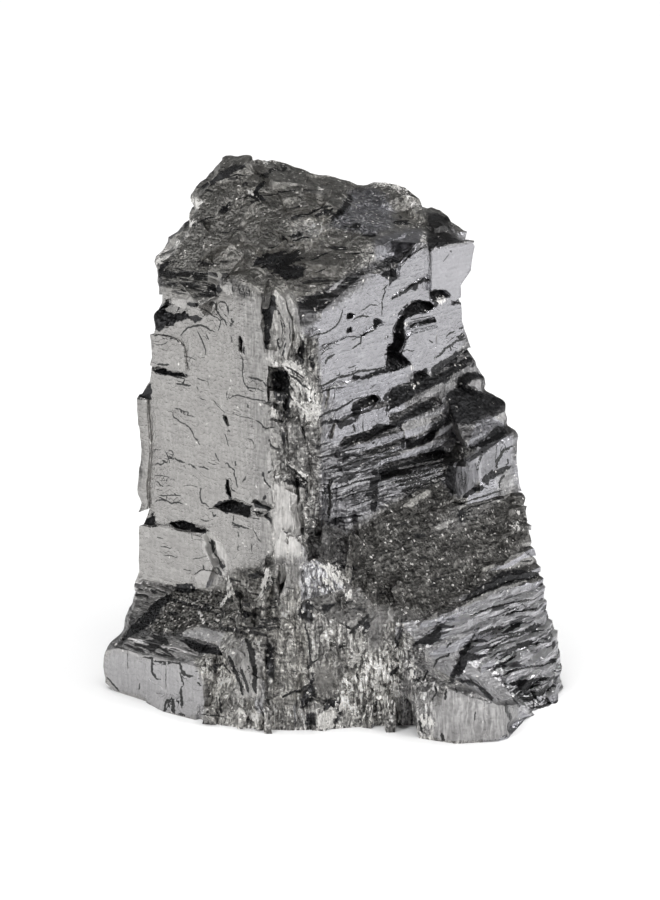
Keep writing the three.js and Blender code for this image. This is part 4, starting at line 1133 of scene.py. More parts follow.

# Stretches of the front, later ones over earlier ones: the corners | the numbers of the surface in its own
# order | the feather in millimetres, where it isn't 1. The order is tone, rough, grain, stripes, fibres,
# cracks, streaks, mottle, warm, chunks, painted_level_light, dull, faced. An indented line goes on with the
# one above.
REGIONS = """
The left-hand face
150,290 268,300 275,420 272,560 240,570 200,585 140,578 140,400
    | 0.35 0.26 0.03 0.03 0.1 0.34 0.14 0.24 0.4 0 0 0 0.85
The clean upper part of the right-hand face
296,332 342,300 372,276 396,266 428,246 478,240 466,300 466,345 434,374 385,374 320,392 316,340
    | 0.375 0.26 0.02 0.03 0 0.1 0.2 0.24 -0.6 0 0 0 0.6
Its fibrous margin beside the broken edge
238,300 266,300 274,420 272,560 256,560 250,440 242,380
    | 0.33 0.28 0.12 0.03 0.45 0.2 0.3 0.35 0.3 0 0 0 0.7 | 4
A pocket of the left-hand face, lit from inside
203,533 212,533 222,546 227,558 226,576 219,576 210,562 203,548
    | 0.6 0.3 0.02 0 0.2 0 0.1 0.2 0.4 0 0 0.85 0.8 | 0.4
The top, olive and crumbly
188,198 232,152 300,168 358,185 395,180 425,205 395,232 372,240 330,285 300,300 262,296 236,280 160,270
    155,258
    | 0.31 0.42 0.36 0.35 0 0.4 0.5 0.7 1.4
163,270 185,267 217,272 222,290 228,298 200,300 170,296 162,280
    | 0.3 0.42 0.3 0.6 0 0 1.1 0.5 0.7
155,266 157,255 170,240 186,220 190,234 178,246 162,266
    | 0.45 0.36 0.6 0.2 0 0 0.8 0.8 0.3
290,228 303,219 322,219 331,227 322,238 300,244 288,242
    | 0.75 0.45 1.5 0 0 0 0 1.1 0.4 0.3
236,280 262,284 285,284 300,292 296,304 275,300 258,296 250,288
    | 0.5 0.42 1.1 0 0 0 0 1 0.7
342,205 350,189 368,189 395,205 395,228 372,236 340,230 328,226
    | 0.34 0.42 0.9 0.1 0 0 0.1 1 -0.9
424,210 440,209 452,220 472,238 455,243 440,245 430,250 426,238
    | 0.1 0.42 0.15 0.2 0 0 0.7 0.6 0
372,238 395,231 420,227 428,238 414,246 396,262 374,262
    | 0.42 0.4 0.08 0.3 0 0 0.5 0.4 -0.9
300,297 322,290 344,276 372,261 396,262 390,268 375,271 359,283 342,299 331,306 319,314 311,326 296,331
    290,316
    | 0.16 0.42 0.5 0.5 0 0 1 0.6 -0.2 | 0.6
The block at the right and the stripes before it
446,468 470,455 480,446 497,441 500,470 480,478 472,492 456,500
    | 0.3 0.3 0.05 0 0.1 0.1 0.1 0.3 -0.6 | 0.5
496,441 514,433 517,440 516,466 500,470
    | 0.34 0.28 0.02 0 0.1 0.1 0.1 0.3 -0.8 | 0.5
455,470 461,468 466,472 474,480 472,487 464,494 457,500 454,488
    | 0.19 0.3 0.02 0 0.5 0 0.05 0.2 -0.6 0 0 0.3 | 0.4
445,390 486,388 505,400 506,412 474,424 452,425
    | 0.065 0.42 0.16 0 0 0 0.3 1 -0.3
318,440 345,440 400,480 440,470 440,500 400,500 345,540 318,520
    | 0.34 0.34 0.3 0.5 0 0 1.2 0.6 -0.4
The broken front edge
262,292 296,292 300,330 292,358 268,360 262,330
    | 0.46 0.34 0.3 0.1 0.6 0 0.1 0.5 0.4 0.2 0 0.35
270,404 318,404 322,430 318,480 280,482 272,440
    | 0.27 0.36 1 0.2 0.3 0 0.8 1.4 0.4 0.5 0 0.2
272,482 304,484 305,560 272,562
    | 0.57 0.3 0.05 0.03 0.28 0 0.1 0.2 0.4 0 0 0.45 0.8
270,558 290,555 303,560 302,585 284,598 272,580
    | 0.34 0.34 0.4 0.2 0.8 0 0.5 0.8 0.4 0.2 0 0.5
276,566 287,566 288,582 286,597 276,597
    | 0.5 0.34 0.4 0.2 0.6 0 0.5 0.8 0.4 0.2 0 0.85 | 0.5
303,526 342,526 345,560 303,562
    | 0.16 0.4 0.6 0.2 0.3 0 0.4 1 0.2
The slope and the foot at the lower left
137,577 172,588 168,597 150,610 135,619 130,616 132,598
    | 0.5 0.4 0.1 0.5 0 0 1.1 0.4 0.2
172,588 196,588 220,588 236,570 275,570 280,620 275,642 250,640 205,627 185,632 150,634 150,625 160,612
    | 0.23 0.4 1 0.45 0.2 0 1.1 1.5 0.9 0.5
118,647 130,637 150,633 180,637 215,646 222,656 200,664 184,661 152,659 128,652
    | 0.6 0.4 0.1 0.55 0 0 1.2 0.4 0.1
100,665 112,647 125,650 140,656 180,661 196,660 204,672 208,690 207,716 190,724 155,716 115,696
    | 0.38 0.27 0.02 0.02 0.16 0.1 0.08 0.2 -0.1 0 0 0 0.9
196,660 222,652 232,676 226,716 208,716 208,690
    | 0.57 0.34 1.7 0.1 0.9 0 0.3 1.7 1.6 0.9 0 0.35
226,652 246,640 262,656 266,700 240,700 232,676
    | 0.46 0.3 0.2 0.1 0.6 0 0.1 0.5 0.3 0.2 0 0.2
205,712 232,704 262,714 285,722 285,732 215,732
    | 0.52 0.34 1 0.1 0.3 0 0.3 1.2 0.7 0.7 0 0.3
The broken foot
272,612 310,625 310,668 300,700 282,715 270,700
    | 0.44 0.34 1.1 0.3 0.3 0 0.7 1.2 1 0.5 0 0.3
310,668 332,664 342,690 316,698
    | 0.2 0.4 0.4 0.1 0 0 0.4 0.6 0.7
345,650 372,650 412,640 412,680 402,710 372,725 348,712 342,690
    | 0.74 0.32 1.8 0.1 2 0 0.1 1.8 0.7 1.1 0 0.3
368,612 377,608 384,620 383,645 372,652 368,640
    | 0.2 0.36 0.1 0 0.3 0 0 0.3 0.3
The dark slope
345,535 400,497 440,478 456,500 434,532 458,530 500,500 512,490 526,505 532,535 515,552 490,572 466,596
    440,612 410,612 375,604 352,585
    | 0.135 0.42 0.9 0.3 0 0 0.8 1.6 0.8
The layers and the lump at the lower right
463,610 500,588 545,583 552,615 562,660 562,692 520,702 490,665 476,655 480,635 446,636 440,625
    | 0.42 0.34 0.1 0.42 0 0 1.1 0.4 -0.4 0 1
405,645 425,640 446,684 440,704 430,742 396,730 400,690
    | 0.36 0.36 0.8 0.1 0.8 0.1 0.2 1.1 0.2 0.6
445,688 460,683 476,687 490,700 515,700 522,716 512,745 430,745 432,712
    | 0.36 0.32 0.1 0 0.5 0 0.05 0.35 0.1
"""

# Where the outline is eased, one place a line: the middle, the reach and the shift.
PUSHES = """
468,231 6 -2,3
470,240 6 3,0
401,187 10 1,-3
419,201 9 3.5,-1
374,189 20 0,-4.5
390,188 20 0,-4.5
404,191 16 0,-2
416,196 12 1,3
464,231 12 -1,6
206,170 14 4,5
176,223 16 10,2
160,247 18 9,3
431,206 10 0,4
457,223 16 -3,2
274,163 24 0,-4
193,191 13 -6,-3
188,210 11 6,3
170,235 22 3,3
157,256 14 -5,-1
157,291 7 3,0
158,315 15 -6,-2
150,350 24 3,0
138,447 44 4,0
140,503 10 4,0
133,588 17 -6,0
118,629 17 5,2
157,711 12 -1,4
516,727 11 -6,0
543,708 24 11,10
562,681 15 -3,0
549,605 30 -7,2
533,551 10 -5,0
514,455 42 -4,0
513,426 12 -4,0
523,498 12 4,0
489,386 11 -5,3
501,404 12 5,-3
"""


# ---------------------------------------------------------------- the fine mesh


@dataclass
class Shell:
    """Triangles of one closed surface.

    Attributes:
        points: N by 3, in the row frame, in millimetres.
        triangles: M by 3 of point numbers.
    """

    points: np.ndarray
    triangles: np.ndarray

    @classmethod
    def of_node(cls, node: bpy.types.Object) -> "Shell":
        """The shell of a CAD node, with its split corners joined.

        Args:
            node: The CAD node's object.

        Returns:
            Its shell.
        """
        count = len(node.data.vertices)
        flat = np.empty(count * 3, dtype=np.float32)
        node.data.vertices.foreach_get("co", flat)
        node.data.calc_loop_triangles()
        used = np.empty(len(node.data.loop_triangles) * 3, dtype=np.int32)
        node.data.loop_triangles.foreach_get("vertices", used)
        rounded = np.round(flat.reshape(-1, 3).astype(float) / MM, 4)
        points, joined = np.unique(rounded, axis=0, return_inverse=True)
        return cls(points, joined.ravel()[used].reshape(-1, 3))

    @property
    def _crossed(self) -> np.ndarray:
        """Two edges of every triangle, multiplied across."""
        a, b, c = (self.points[self.triangles[:, k]] for k in range(3))
        return np.cross(b - a, c - a)

    @property
    def normals(self) -> np.ndarray:
        """The unit normal of every triangle."""
        crossed = self._crossed
        return crossed / np.maximum(np.linalg.norm(crossed, axis=1, keepdims=True), TINY)

    @property
    def areas(self) -> np.ndarray:
        """The area of every triangle."""
        return np.linalg.norm(self._crossed, axis=1) / 2

    @property
    def middles(self) -> np.ndarray:
        """The middle of every triangle."""
        return self.points[self.triangles].mean(axis=1)

    def edges(self) -> tuple[np.ndarray, np.ndarray]:
        """The edges, and which three each triangle has.

        Returns:
            K by 2 of point numbers, and M by 3 of edge numbers.
        """
        ends = np.sort(self.triangles[:, [0, 1, 1, 2, 2, 0]].reshape(-1, 2), axis=1)
        unique, which = np.unique(self.keys(ends), return_inverse=True)
        pairs = np.stack([unique // len(self.points), unique % len(self.points)], axis=1)
        return pairs, which.reshape(-1, 3)

    def keys(self, pairs: np.ndarray) -> np.ndarray:
        """One number for each pair of point numbers, the lower one first."""
        return pairs[:, 0].astype(np.int64) * len(self.points) + pairs[:, 1]

    def spread(self, per_triangle: np.ndarray) -> np.ndarray:
        """A triangle value averaged on to the points, by area.

        Args:
            per_triangle: M values or M by K.

        Returns:
            N values or N by K.
        """
        weight = self.areas
        values = per_triangle.reshape(len(per_triangle), -1)
        total = np.zeros((len(self.points), values.shape[1]))
        share = np.zeros(len(self.points))
        for k in range(3):
            np.add.at(total, self.triangles[:, k], values * weight[:, None])
            np.add.at(share, self.triangles[:, k], weight)
        return (total / np.maximum(share, TINY)[:, None]).reshape(len(self.points), *per_triangle.shape[1:])

    def flip_slivers(self, rounds: int, slack: float = 0.002) -> "Shell":
        """The same surface with its flat parts triangulated better.

        Args:
            rounds: How many rounds of turned edges to make at most.
            slack: How far off one plane four corners may lie, in millimetres.

        Returns:
            A new shell.
        """
        shell = Shell(self.points, self.triangles.copy())
        for _ in range(rounds):
            if not shell._flip_once(slack):
                break
        return shell

    def _flip_once(self, slack: float) -> int:
        """Turns one set of edges, none of them on the same triangle.

        Args:
            slack: How far off one plane four corners may lie.

        Returns:
            How many edges it turned.
        """
        pairs, which = self.edges()
        order = np.argsort(which.ravel(), kind="stable").reshape(-1, 2)
        tri, side = order // 3, order % 3
        p = self.triangles[tri[:, 0], side[:, 0]]
        q = self.triangles[tri[:, 0], (side[:, 0] + 1) % 3]
        c = self.triangles[tri[:, 0], (side[:, 0] + 2) % 3]
        d = self.triangles[tri[:, 1], (side[:, 1] + 2) % 3]
        at_p, at_q, at_c, at_d = (self.points[k] for k in (p, q, c, d))
        up = np.cross(at_q - at_p, at_c - at_p) + np.cross(at_d - at_p, at_q - at_p)
        up /= np.maximum(np.linalg.norm(up, axis=1, keepdims=True), TINY)
        flat = np.ones(len(p), dtype=bool)
        for corner in (at_q, at_c, at_d):
            flat &= np.abs(((corner - at_p) * up).sum(axis=1)) < slack
        one = (np.cross(at_d - at_p, at_c - at_p) * up).sum(axis=1)
        two = (np.cross(at_q - at_d, at_c - at_d) * up).sum(axis=1)
        sum_of_angles = self._angle(at_c, at_p, at_q) + self._angle(at_d, at_p, at_q)
        wanted = flat & (one > 1e-7) & (two > 1e-7) & (sum_of_angles > math.pi + 1e-4)
        fresh = np.sort(np.stack([c, d], axis=1), axis=1)
        wanted &= ~np.isin(self.keys(fresh), self.keys(pairs))
        worth = np.where(wanted, sum_of_angles + np.arange(len(p)) * 1e-9, 0.0)
        best = np.zeros(len(self.triangles))
        np.maximum.at(best, tri[:, 0], worth)
        np.maximum.at(best, tri[:, 1], worth)
        turned = wanted & (best[tri[:, 0]] == worth) & (best[tri[:, 1]] == worth)
        self.triangles[tri[turned, 0]] = np.stack([p, d, c], axis=1)[turned]
        self.triangles[tri[turned, 1]] = np.stack([d, q, c], axis=1)[turned]
        return int(turned.sum())

    @staticmethod
    def _angle(at: np.ndarray, one: np.ndarray, other: np.ndarray) -> np.ndarray:
        """The angle at a corner between two others."""
        a, b = one - at, other - at
        return np.arctan2(np.linalg.norm(np.cross(a, b), axis=1), (a * b).sum(axis=1))


@dataclass(frozen=True)
class Slant:
    """A slanting break of the top.

    Attributes:
        height: Its height at the foot of the front edge, in millimetres.
        per_s: How much it rises for each millimetre along s.
        per_t: How much it rises for each millimetre along t.
    """

    height: float
    per_s: float
    per_t: float

    def at(self, s: np.ndarray, t: np.ndarray) -> np.ndarray:
        """Its height at places along s and t."""
        return self.height + self.per_s * s + self.per_t * t


@dataclass(frozen=True)
class Refiner:
    """Splits long edges until a shell is fine enough.

    Attributes:
        broken: The longest edge on the broken surfaces in front.
        cleavage: The longest edge on the clean faces in front.
        marked: The longest edge next to a mark.
        back: The longest edge on the far side.
        underside: The longest edge under the stone.
        rounds: The most rounds of splitting.
        square: How squarely a clean face lies across s or t, as a cosine.
        edge_band: How far back from the front edge all of it counts as broken.
        behind: Where behind the two clean faces the far side begins.
        blend: Over how much it begins.
        shoulder: Up to where the far side reaches under the top.
        far_corner: The sum of s and t from where on everything is far.
        sole: How high the underside reaches.
    """

    broken: float = 0.62
    cleavage: float = 1.2
    marked: float = 0.45
    back: float = 1.7
    underside: float = 3.0
    rounds: int = 60
    square: float = 0.96
    edge_band: float = 6.0
    behind: float = 1.5
    blend: float = 6.0
    shoulder: Slant = Slant(54.0, 0.4, 0.38)
    far_corner: float = 48.0
    sole: float = 0.05

    def limit(self, crystal: CrystalFrame, shell: Shell, plan: SetOut) -> np.ndarray:
        """The longest edge allowed on each triangle.

        Args:
            crystal: Where the crystal's axes lie.
            shell: The shell so far.
            plan: The marks of the front.

        Returns:
            M lengths.
        """
        s, t, z = crystal.to_crystal(shell.middles).T
        tilt = np.abs(shell.normals @ crystal.axes.T)[:, :2].max(axis=1)
        clean = (tilt > self.square) & ((s > self.edge_band) | (t > self.edge_band))
        length = np.where(clean, self.cleavage, self.broken)
        inside = np.prod([np.clip((along - self.behind) / self.blend, 0, 1) for along in (s, t)], axis=0)
        low = np.clip((self.shoulder.at(s, t) - z) / 4.0, 0, 1)
        far = np.clip((s + t - self.far_corner) / 8.0, 0, 1)
        hidden = np.maximum(inside * low, far)
        marked = plan.near(shell.middles) & (shell.normals @ plan.view.back > 0.0)
        length = np.where(marked, self.marked, length)
        length = length + (self.back - length) * hidden
        return np.where(z < self.sole, self.underside, length)

    def refine(self, shell: Shell, crystal: CrystalFrame, plan: SetOut) -> Shell:
        """Splits the longest edge of each triangle, again and again.

        Args:
            shell: What to refine.
            crystal: Where the crystal's axes lie.
            plan: The marks of the front.

        Returns:
            The finer shell.
        """
        fine = shell.flip_slivers(12)
        for step in range(self.rounds):
            pairs, which = fine.edges()
            ends = fine.points[pairs]
            length = np.linalg.norm(ends[:, 0] - ends[:, 1], axis=1)
            limit = np.full(len(pairs), np.inf)
            np.minimum.at(limit, which.ravel(), np.repeat(self.limit(crystal, fine, plan), 3))
            wanted = length > limit
            longest = which[np.arange(len(which)), np.argmax(length[which], axis=1)]
            chosen = np.zeros(len(pairs), dtype=bool)
            chosen[longest[wanted[longest]]] = True
            if not chosen.any():
                break
            made = np.full(len(pairs), -1)
            made[chosen] = len(fine.points) + np.arange(chosen.sum())
            points = np.vstack([fine.points, ends[chosen].mean(axis=1)])
            fine = Shell(points, self._split(fine.triangles, made[which])).flip_slivers(2)
        return fine.flip_slivers(3)

    @staticmethod
    def _split(triangles: np.ndarray, mids: np.ndarray) -> np.ndarray:
        """Cuts each triangle at the new points on its edges.

        Args:
            triangles: M by 3 of point numbers.
            mids: M by 3 of the new point on each edge, or -1.

        Returns:
            The new triangles.
        """
        count = (mids >= 0).sum(axis=1)
        parts = [triangles[count == 0]]
        one = count == 1
        turn = np.argmax(mids[one] >= 0, axis=1)
        a, b, c = (triangles[one][np.arange(one.sum()), (turn + k) % 3] for k in range(3))
        m = mids[one][np.arange(one.sum()), turn]
        parts += [np.stack([a, m, c], axis=1), np.stack([m, b, c], axis=1)]
        two = count == 2
        turn = (np.argmax(mids[two] < 0, axis=1) + 1) % 3
        rows = np.arange(two.sum())
        a, b, c = (triangles[two][rows, (turn + k) % 3] for k in range(3))
        m, n = (mids[two][rows, (turn + k) % 3] for k in range(2))
        parts += [np.stack([m, b, n], axis=1), np.stack([a, m, n], axis=1), np.stack([a, n, c], axis=1)]
        three = count == 3
        a, b, c = triangles[three].T
        m, n, o = mids[three].T
        parts += [np.stack(corner, axis=1) for corner in ((a, m, o), (m, b, n), (n, c, o), (m, n, o))]
        return np.vstack(parts)


# ---------------------------------------------------------------- shader groups


class Wire:
    """A short way to make and join the nodes of one tree."""

    def __init__(self, tree: bpy.types.NodeTree) -> None:
        """Keeps the tree that the nodes go into."""
        self.tree = tree

    def node(self, kind: str, **values: object) -> bpy.types.Node:
        """Makes one node.

        Args:
            kind: Its type, such as "ShaderNodeMath".
            **values: Properties of the node.

        Returns:
            The node.
        """
        made = self.tree.nodes.new(kind)
        for name, value in values.items():
            setattr(made, name, value)
        return made

    def feed(self, socket: bpy.types.NodeSocket, source: object) -> None:
        """Joins or sets a socket.

        Args:
            socket: The input socket.
            source: A socket to join, or a value to set.
        """
        if isinstance(source, bpy.types.NodeSocket):
            self.tree.links.new(source, socket)
        elif source is not None:
            socket.default_value = source

    def math(self, operation: str, *sources: object, clamp: bool = False) -> bpy.types.NodeSocket:
        """A maths node.

        Args:
            operation: What it does, such as "MULTIPLY".
            *sources: Sockets or numbers for its inputs.
            clamp: Whether to keep the answer from 0 to 1.

        Returns:
            Its output socket.
        """
        made = self.node("ShaderNodeMath", operation=operation, use_clamp=clamp)
        for socket, source in zip(made.inputs, sources):
            self.feed(socket, source)
        return made.outputs[0]

    def plus(self, total: object, value: object, times: float) -> bpy.types.NodeSocket:
        """A total with a value, times a number, added to it."""
        return self.math("ADD", total, self.math("MULTIPLY", value, times))

    def ramp(
        self, value: object, low: float, high: float, start: float = 0.0, end: float = 1.0
    ) -> bpy.types.NodeSocket:
        """Turns a value between low and high into one between start and end, smoothly.

        Args:
            value: The socket to read.
            low: Where the ramp starts.
            high: Where it ends.
            start: The answer at low.
            end: The answer at high.

        Returns:
            The output socket.
        """
        made = self.node("ShaderNodeMapRange", interpolation_type="SMOOTHSTEP")
        sources = {"Value": value, "From Min": low, "From Max": high, "To Min": start, "To Max": end}
        for name, source in sources.items():
            self.feed(made.inputs[name], source)
        return made.outputs["Result"]

    def noise(
        self, vector: object, scale: float, detail: float = 2.0, distortion: float = 0.0
    ) -> bpy.types.NodeSocket:
        """A noise value from 0 to 1.

        Args:
            vector: Where to read it.
            scale: How fine it is.
            detail: How many finer layers it has.
            distortion: How far it is warped.

        Returns:
            The value's socket.
        """
        made = self.node("ShaderNodeTexNoise", noise_dimensions="3D")
        sources = {"Vector": vector, "Scale": scale, "Detail": detail, "Distortion": distortion}
        for name, source in sources.items():
            self.feed(made.inputs[name], source)
        return made.outputs["Fac"]

    def cells(self, vector: object, scale: object) -> bpy.types.Node:
        """Cells of space, each with its own colour."""
        made = self.node("ShaderNodeTexVoronoi", feature="F1")
        self.feed(made.inputs["Vector"], vector)
        self.feed(made.inputs["Scale"], scale)
        return made

    def channels(self, colour: bpy.types.NodeSocket) -> bpy.types.bpy_prop_collection:
        """The red, green and blue of a colour."""
        made = self.node("ShaderNodeSeparateColor")
        self.feed(made.inputs[0], colour)
        return made.outputs

    def stretch(self, vector: object, size: tuple[float, float, float]) -> bpy.types.NodeSocket:
        """Scales a vector along each axis."""
        return self.vector("MULTIPLY", vector, size)

    def vector(self, operation: str, first: object, second: object = None) -> bpy.types.NodeSocket:
        """A vector maths node.

        Args:
            operation: What it does, such as "ADD".
            first: A vector or a socket.
            second: Another, or the number to scale by.

        Returns:
            Its output socket.
        """
        made = self.node("ShaderNodeVectorMath", operation=operation)
        self.feed(made.inputs[0], first)
        self.feed(made.inputs["Scale" if operation == "SCALE" else 1], second)
        return made.outputs[0]

    def multiply(self, colour: object, grey: object) -> bpy.types.NodeSocket:
        """A colour times a number."""
        if not isinstance(colour, bpy.types.NodeSocket):
            colour = colour[:3]
        return self.vector("SCALE", colour, grey)

    def blend(self, amount: object, first: object, second: object) -> bpy.types.NodeSocket:
        """Mixes two colours.

        Args:
            amount: How much of the second.
            first: A colour or a socket.
            second: A colour or a socket.

        Returns:
            The mixed colour's socket.
        """
        made = self.node("ShaderNodeMix", data_type="RGBA")
        self.feed(made.inputs["Factor"], amount)
        self.feed(made.inputs[6], first)
        self.feed(made.inputs[7], second)
        return made.outputs[2]

    def attribute(self, name: str, output: str = "Fac") -> bpy.types.NodeSocket:
        """A value that the mesh carries."""
        return self.node("ShaderNodeAttribute", attribute_name=name).outputs[output]


@dataclass(frozen=True)
class Socket:
    """One socket of a shader group.

    Attributes:
        name: Its name.
        kind: Its type without "NodeSocket".
        value: Its value where nothing is joined to it.
    """

    name: str
    kind: str = "Float"
    value: object = None


def new_group(name: str, inputs: tuple[Socket, ...], outputs: tuple[Socket, ...]) -> tuple[Wire, dict, dict]:
    """Makes a shader group with named sockets.

    Args:
        name: The group's name.
        inputs: Its input sockets.
        outputs: Its output sockets.

    Returns:
        The wire of its tree, its input sockets by name and its output sockets by name.
    """
    tree = bpy.data.node_groups.new(name, "ShaderNodeTree")
    for direction, sockets in (("INPUT", inputs), ("OUTPUT", outputs)):
        for socket in sockets:
            kind = "NodeSocket" + socket.kind
            made = tree.interface.new_socket(socket.name, in_out=direction, socket_type=kind)
            if socket.value is not None:
                made.default_value = socket.value
    wire = Wire(tree)
    entry = wire.node("NodeGroupInput")
    leave = wire.node("NodeGroupOutput")
    given = {each.name: entry.outputs[each.name] for each in inputs}
    return wire, given, {each.name: leave.inputs[each.name] for each in outputs}


def place(wire: Wire, tree: bpy.types.NodeTree, **values: object) -> bpy.types.Node:
    """Puts a group in a material.

    Args:
        wire: The wire of the material's tree.
        tree: The group.
        **values: What to feed its inputs, by name with _ for a space.

    Returns:
        The group's node.
    """
    made = wire.node("ShaderNodeGroup", node_tree=tree)
    for name, value in values.items():
        wire.feed(made.inputs[name.replace("_", " ")], value)
    return made


def cleavage_lines_group() -> bpy.types.NodeTree:
    """Thin wandering cracks, where cleavage sheets end.

    Returns:
        The group: Lines is 1 on a crack, Height falls at each sheet's end.
    """
    wire, given, out = new_group(
        "cleavage lines",
        (
            Socket("Vector", "Vector"),
            Socket("Sheets", value=6.0),
            Socket("Width", value=0.06),
            Socket("Cover", value=0.5),
        ),
        (Socket("Lines"), Socket("Height")),
    )
    field_value = wire.noise(given["Vector"], 1.0, detail=3.0, distortion=0.4)
    sheets = wire.math("MULTIPLY", field_value, given["Sheets"])
    part = wire.math("FRACT", sheets)
    near = wire.math("MINIMUM", part, wire.math("SUBTRACT", 1.0, part))
    line = wire.math("LESS_THAN", near, given["Width"])
    broken = wire.noise(wire.stretch(given["Vector"], (1.0, 1.7, 1.3)), 1.9, detail=1.0)
    kept = wire.math("LESS_THAN", broken, given["Cover"])
    wire.feed(out["Lines"], wire.math("MULTIPLY", line, kept))
    wire.feed(out["Height"], wire.math("FLOOR", sheets))
    return wire.tree


def crystal_grain_group() -> bpy.types.NodeTree:
    """Grains of crystal that each face their own way.

    Returns:
        The group: Normal is the surface's normal, tilted grain by grain, Shade a number for each grain.
    """
    wire, given, out = new_group(
        "crystal grain",
        (
            Socket("Vector", "Vector"),
            Socket("Grains", value=2.0),
            Socket("Tilt", value=0.3),
            Socket("Share", value=0.0),
            Socket("Faced", value=0.0),
            Socket("Facet", "Vector"),
            Socket("Normal", "Vector"),
        ),
        (Socket("Normal", "Vector"), Socket("Shade"), Socket("Facets")),
    )
    cells = wire.cells(given["Vector"], given["Grains"])
    draws = wire.channels(cells.outputs["Color"])
    chosen = wire.math("LESS_THAN", draws[0], given["Share"])
    facing = wire.node("ShaderNodeMix", data_type="VECTOR")
    wire.feed(facing.inputs["Factor"], wire.math("MAXIMUM", chosen, given["Faced"]))
    wire.feed(facing.inputs[4], given["Normal"])
    wire.feed(facing.inputs[5], given["Facet"])
    centred = wire.vector("SUBTRACT", cells.outputs["Color"], (0.5, 0.5, 0.5))
    tilt = wire.math("MULTIPLY", given["Tilt"], wire.ramp(chosen, 0.0, 1.0, 1.0, 0.25))
    leaning = wire.vector("ADD", facing.outputs[1], wire.vector("SCALE", centred, tilt))
    wire.feed(out["Normal"], wire.vector("NORMALIZE", leaning))
    wire.feed(out["Shade"], draws[1])
    wire.feed(out["Facets"], chosen)
    return wire.tree


def ore_texture_group() -> bpy.types.NodeTree:
    """The fine texture of the ore: level streaks, dark stripes, upright fibres and blotches.

    Returns:
        The group: Tone multiplies the colour, Stripe is 1 on a dark stripe of painted shade, Height is the
            relief.
    """
    wire, given, out = new_group(
        "ore texture",
        (
            Socket("Vector", "Vector"),
            Socket("Streaks", value=0.4),
            Socket("Fibres", value=0.0),
            Socket("Mottle", value=0.3),
            Socket("Stripes", value=0.0),
            Socket("Chunks", value=0.0),
        ),
        (Socket("Tone"), Socket("Stripe"), Socket("Height")),
    )
    level = wire.noise(wire.stretch(given["Vector"], (0.32, 0.32, 2.7)), 1.0, detail=3.0, distortion=0.25)
    broad = wire.noise(wire.stretch(given["Vector"], (0.13, 0.13, 0.6)), 1.0, detail=2.0, distortion=0.3)
    upright = wire.noise(wire.stretch(given["Vector"], (2.6, 2.6, 0.32)), 1.0, detail=3.0, distortion=0.4)
    crumb = wire.noise(given["Vector"], 1.9, detail=3.0, distortion=0.2)
    blotch = wire.noise(given["Vector"], 0.45, detail=2.0)
    streaked, fibrous, crumbly, blotchy = (
        wire.math("MULTIPLY", wire.ramp(value, 0.5 - spread, 0.5 + spread, -1.0, 1.0), given[name])
        for value, spread, name in (
            (level, 0.14, "Streaks"),
            (upright, 0.14, "Fibres"),
            (crumb, 0.16, "Mottle"),
            (blotch, 0.2, "Mottle"),
        )
    )
    total = wire.plus(wire.math("MULTIPLY", streaked, 0.45), fibrous, 0.6)
    total = wire.plus(wire.plus(total, crumbly, 0.4), blotchy, 0.28)
    warped = wire.vector("ADD", given["Vector"], wire.vector("SCALE", (0.5, 0.5, 0.5), crumb))
    pieces = wire.cells(wire.stretch(warped, (2.2, 2.2, 0.95)), 1.0)
    shade = wire.channels(pieces.outputs["Color"])[0]
    chunky = wire.math("MULTIPLY", wire.math("SUBTRACT", shade, 0.5), given["Chunks"])
    gap = wire.math("MULTIPLY", wire.ramp(pieces.outputs["Distance"], 0.55, 0.75), given["Chunks"])
    chunky = wire.math("SUBTRACT", wire.math("MULTIPLY", chunky, 2.2), wire.math("MULTIPLY", gap, 1.2))
    total = wire.math("ADD", total, chunky)
    wire.feed(out["Tone"], wire.math("POWER", 2.1, total))
    layer = wire.plus(wire.math("MULTIPLY", broad, 0.5), level, 0.5)
    edge = wire.ramp(given["Stripes"], 0.0, 1.0, 0.33, 0.6)
    stripe = wire.ramp(wire.math("SUBTRACT", edge, layer), -0.01, 0.012)
    stripe = wire.math("MULTIPLY", stripe, wire.ramp(given["Stripes"], 0.02, 0.08))
    wire.feed(out["Stripe"], stripe)
    height = wire.plus(wire.math("MULTIPLY", streaked, 0.2), fibrous, 0.35)
    height = wire.plus(wire.plus(height, crumbly, 0.4), chunky, 0.35)
    wire.feed(out["Height"], wire.plus(height, stripe, -0.3))
    return wire.tree


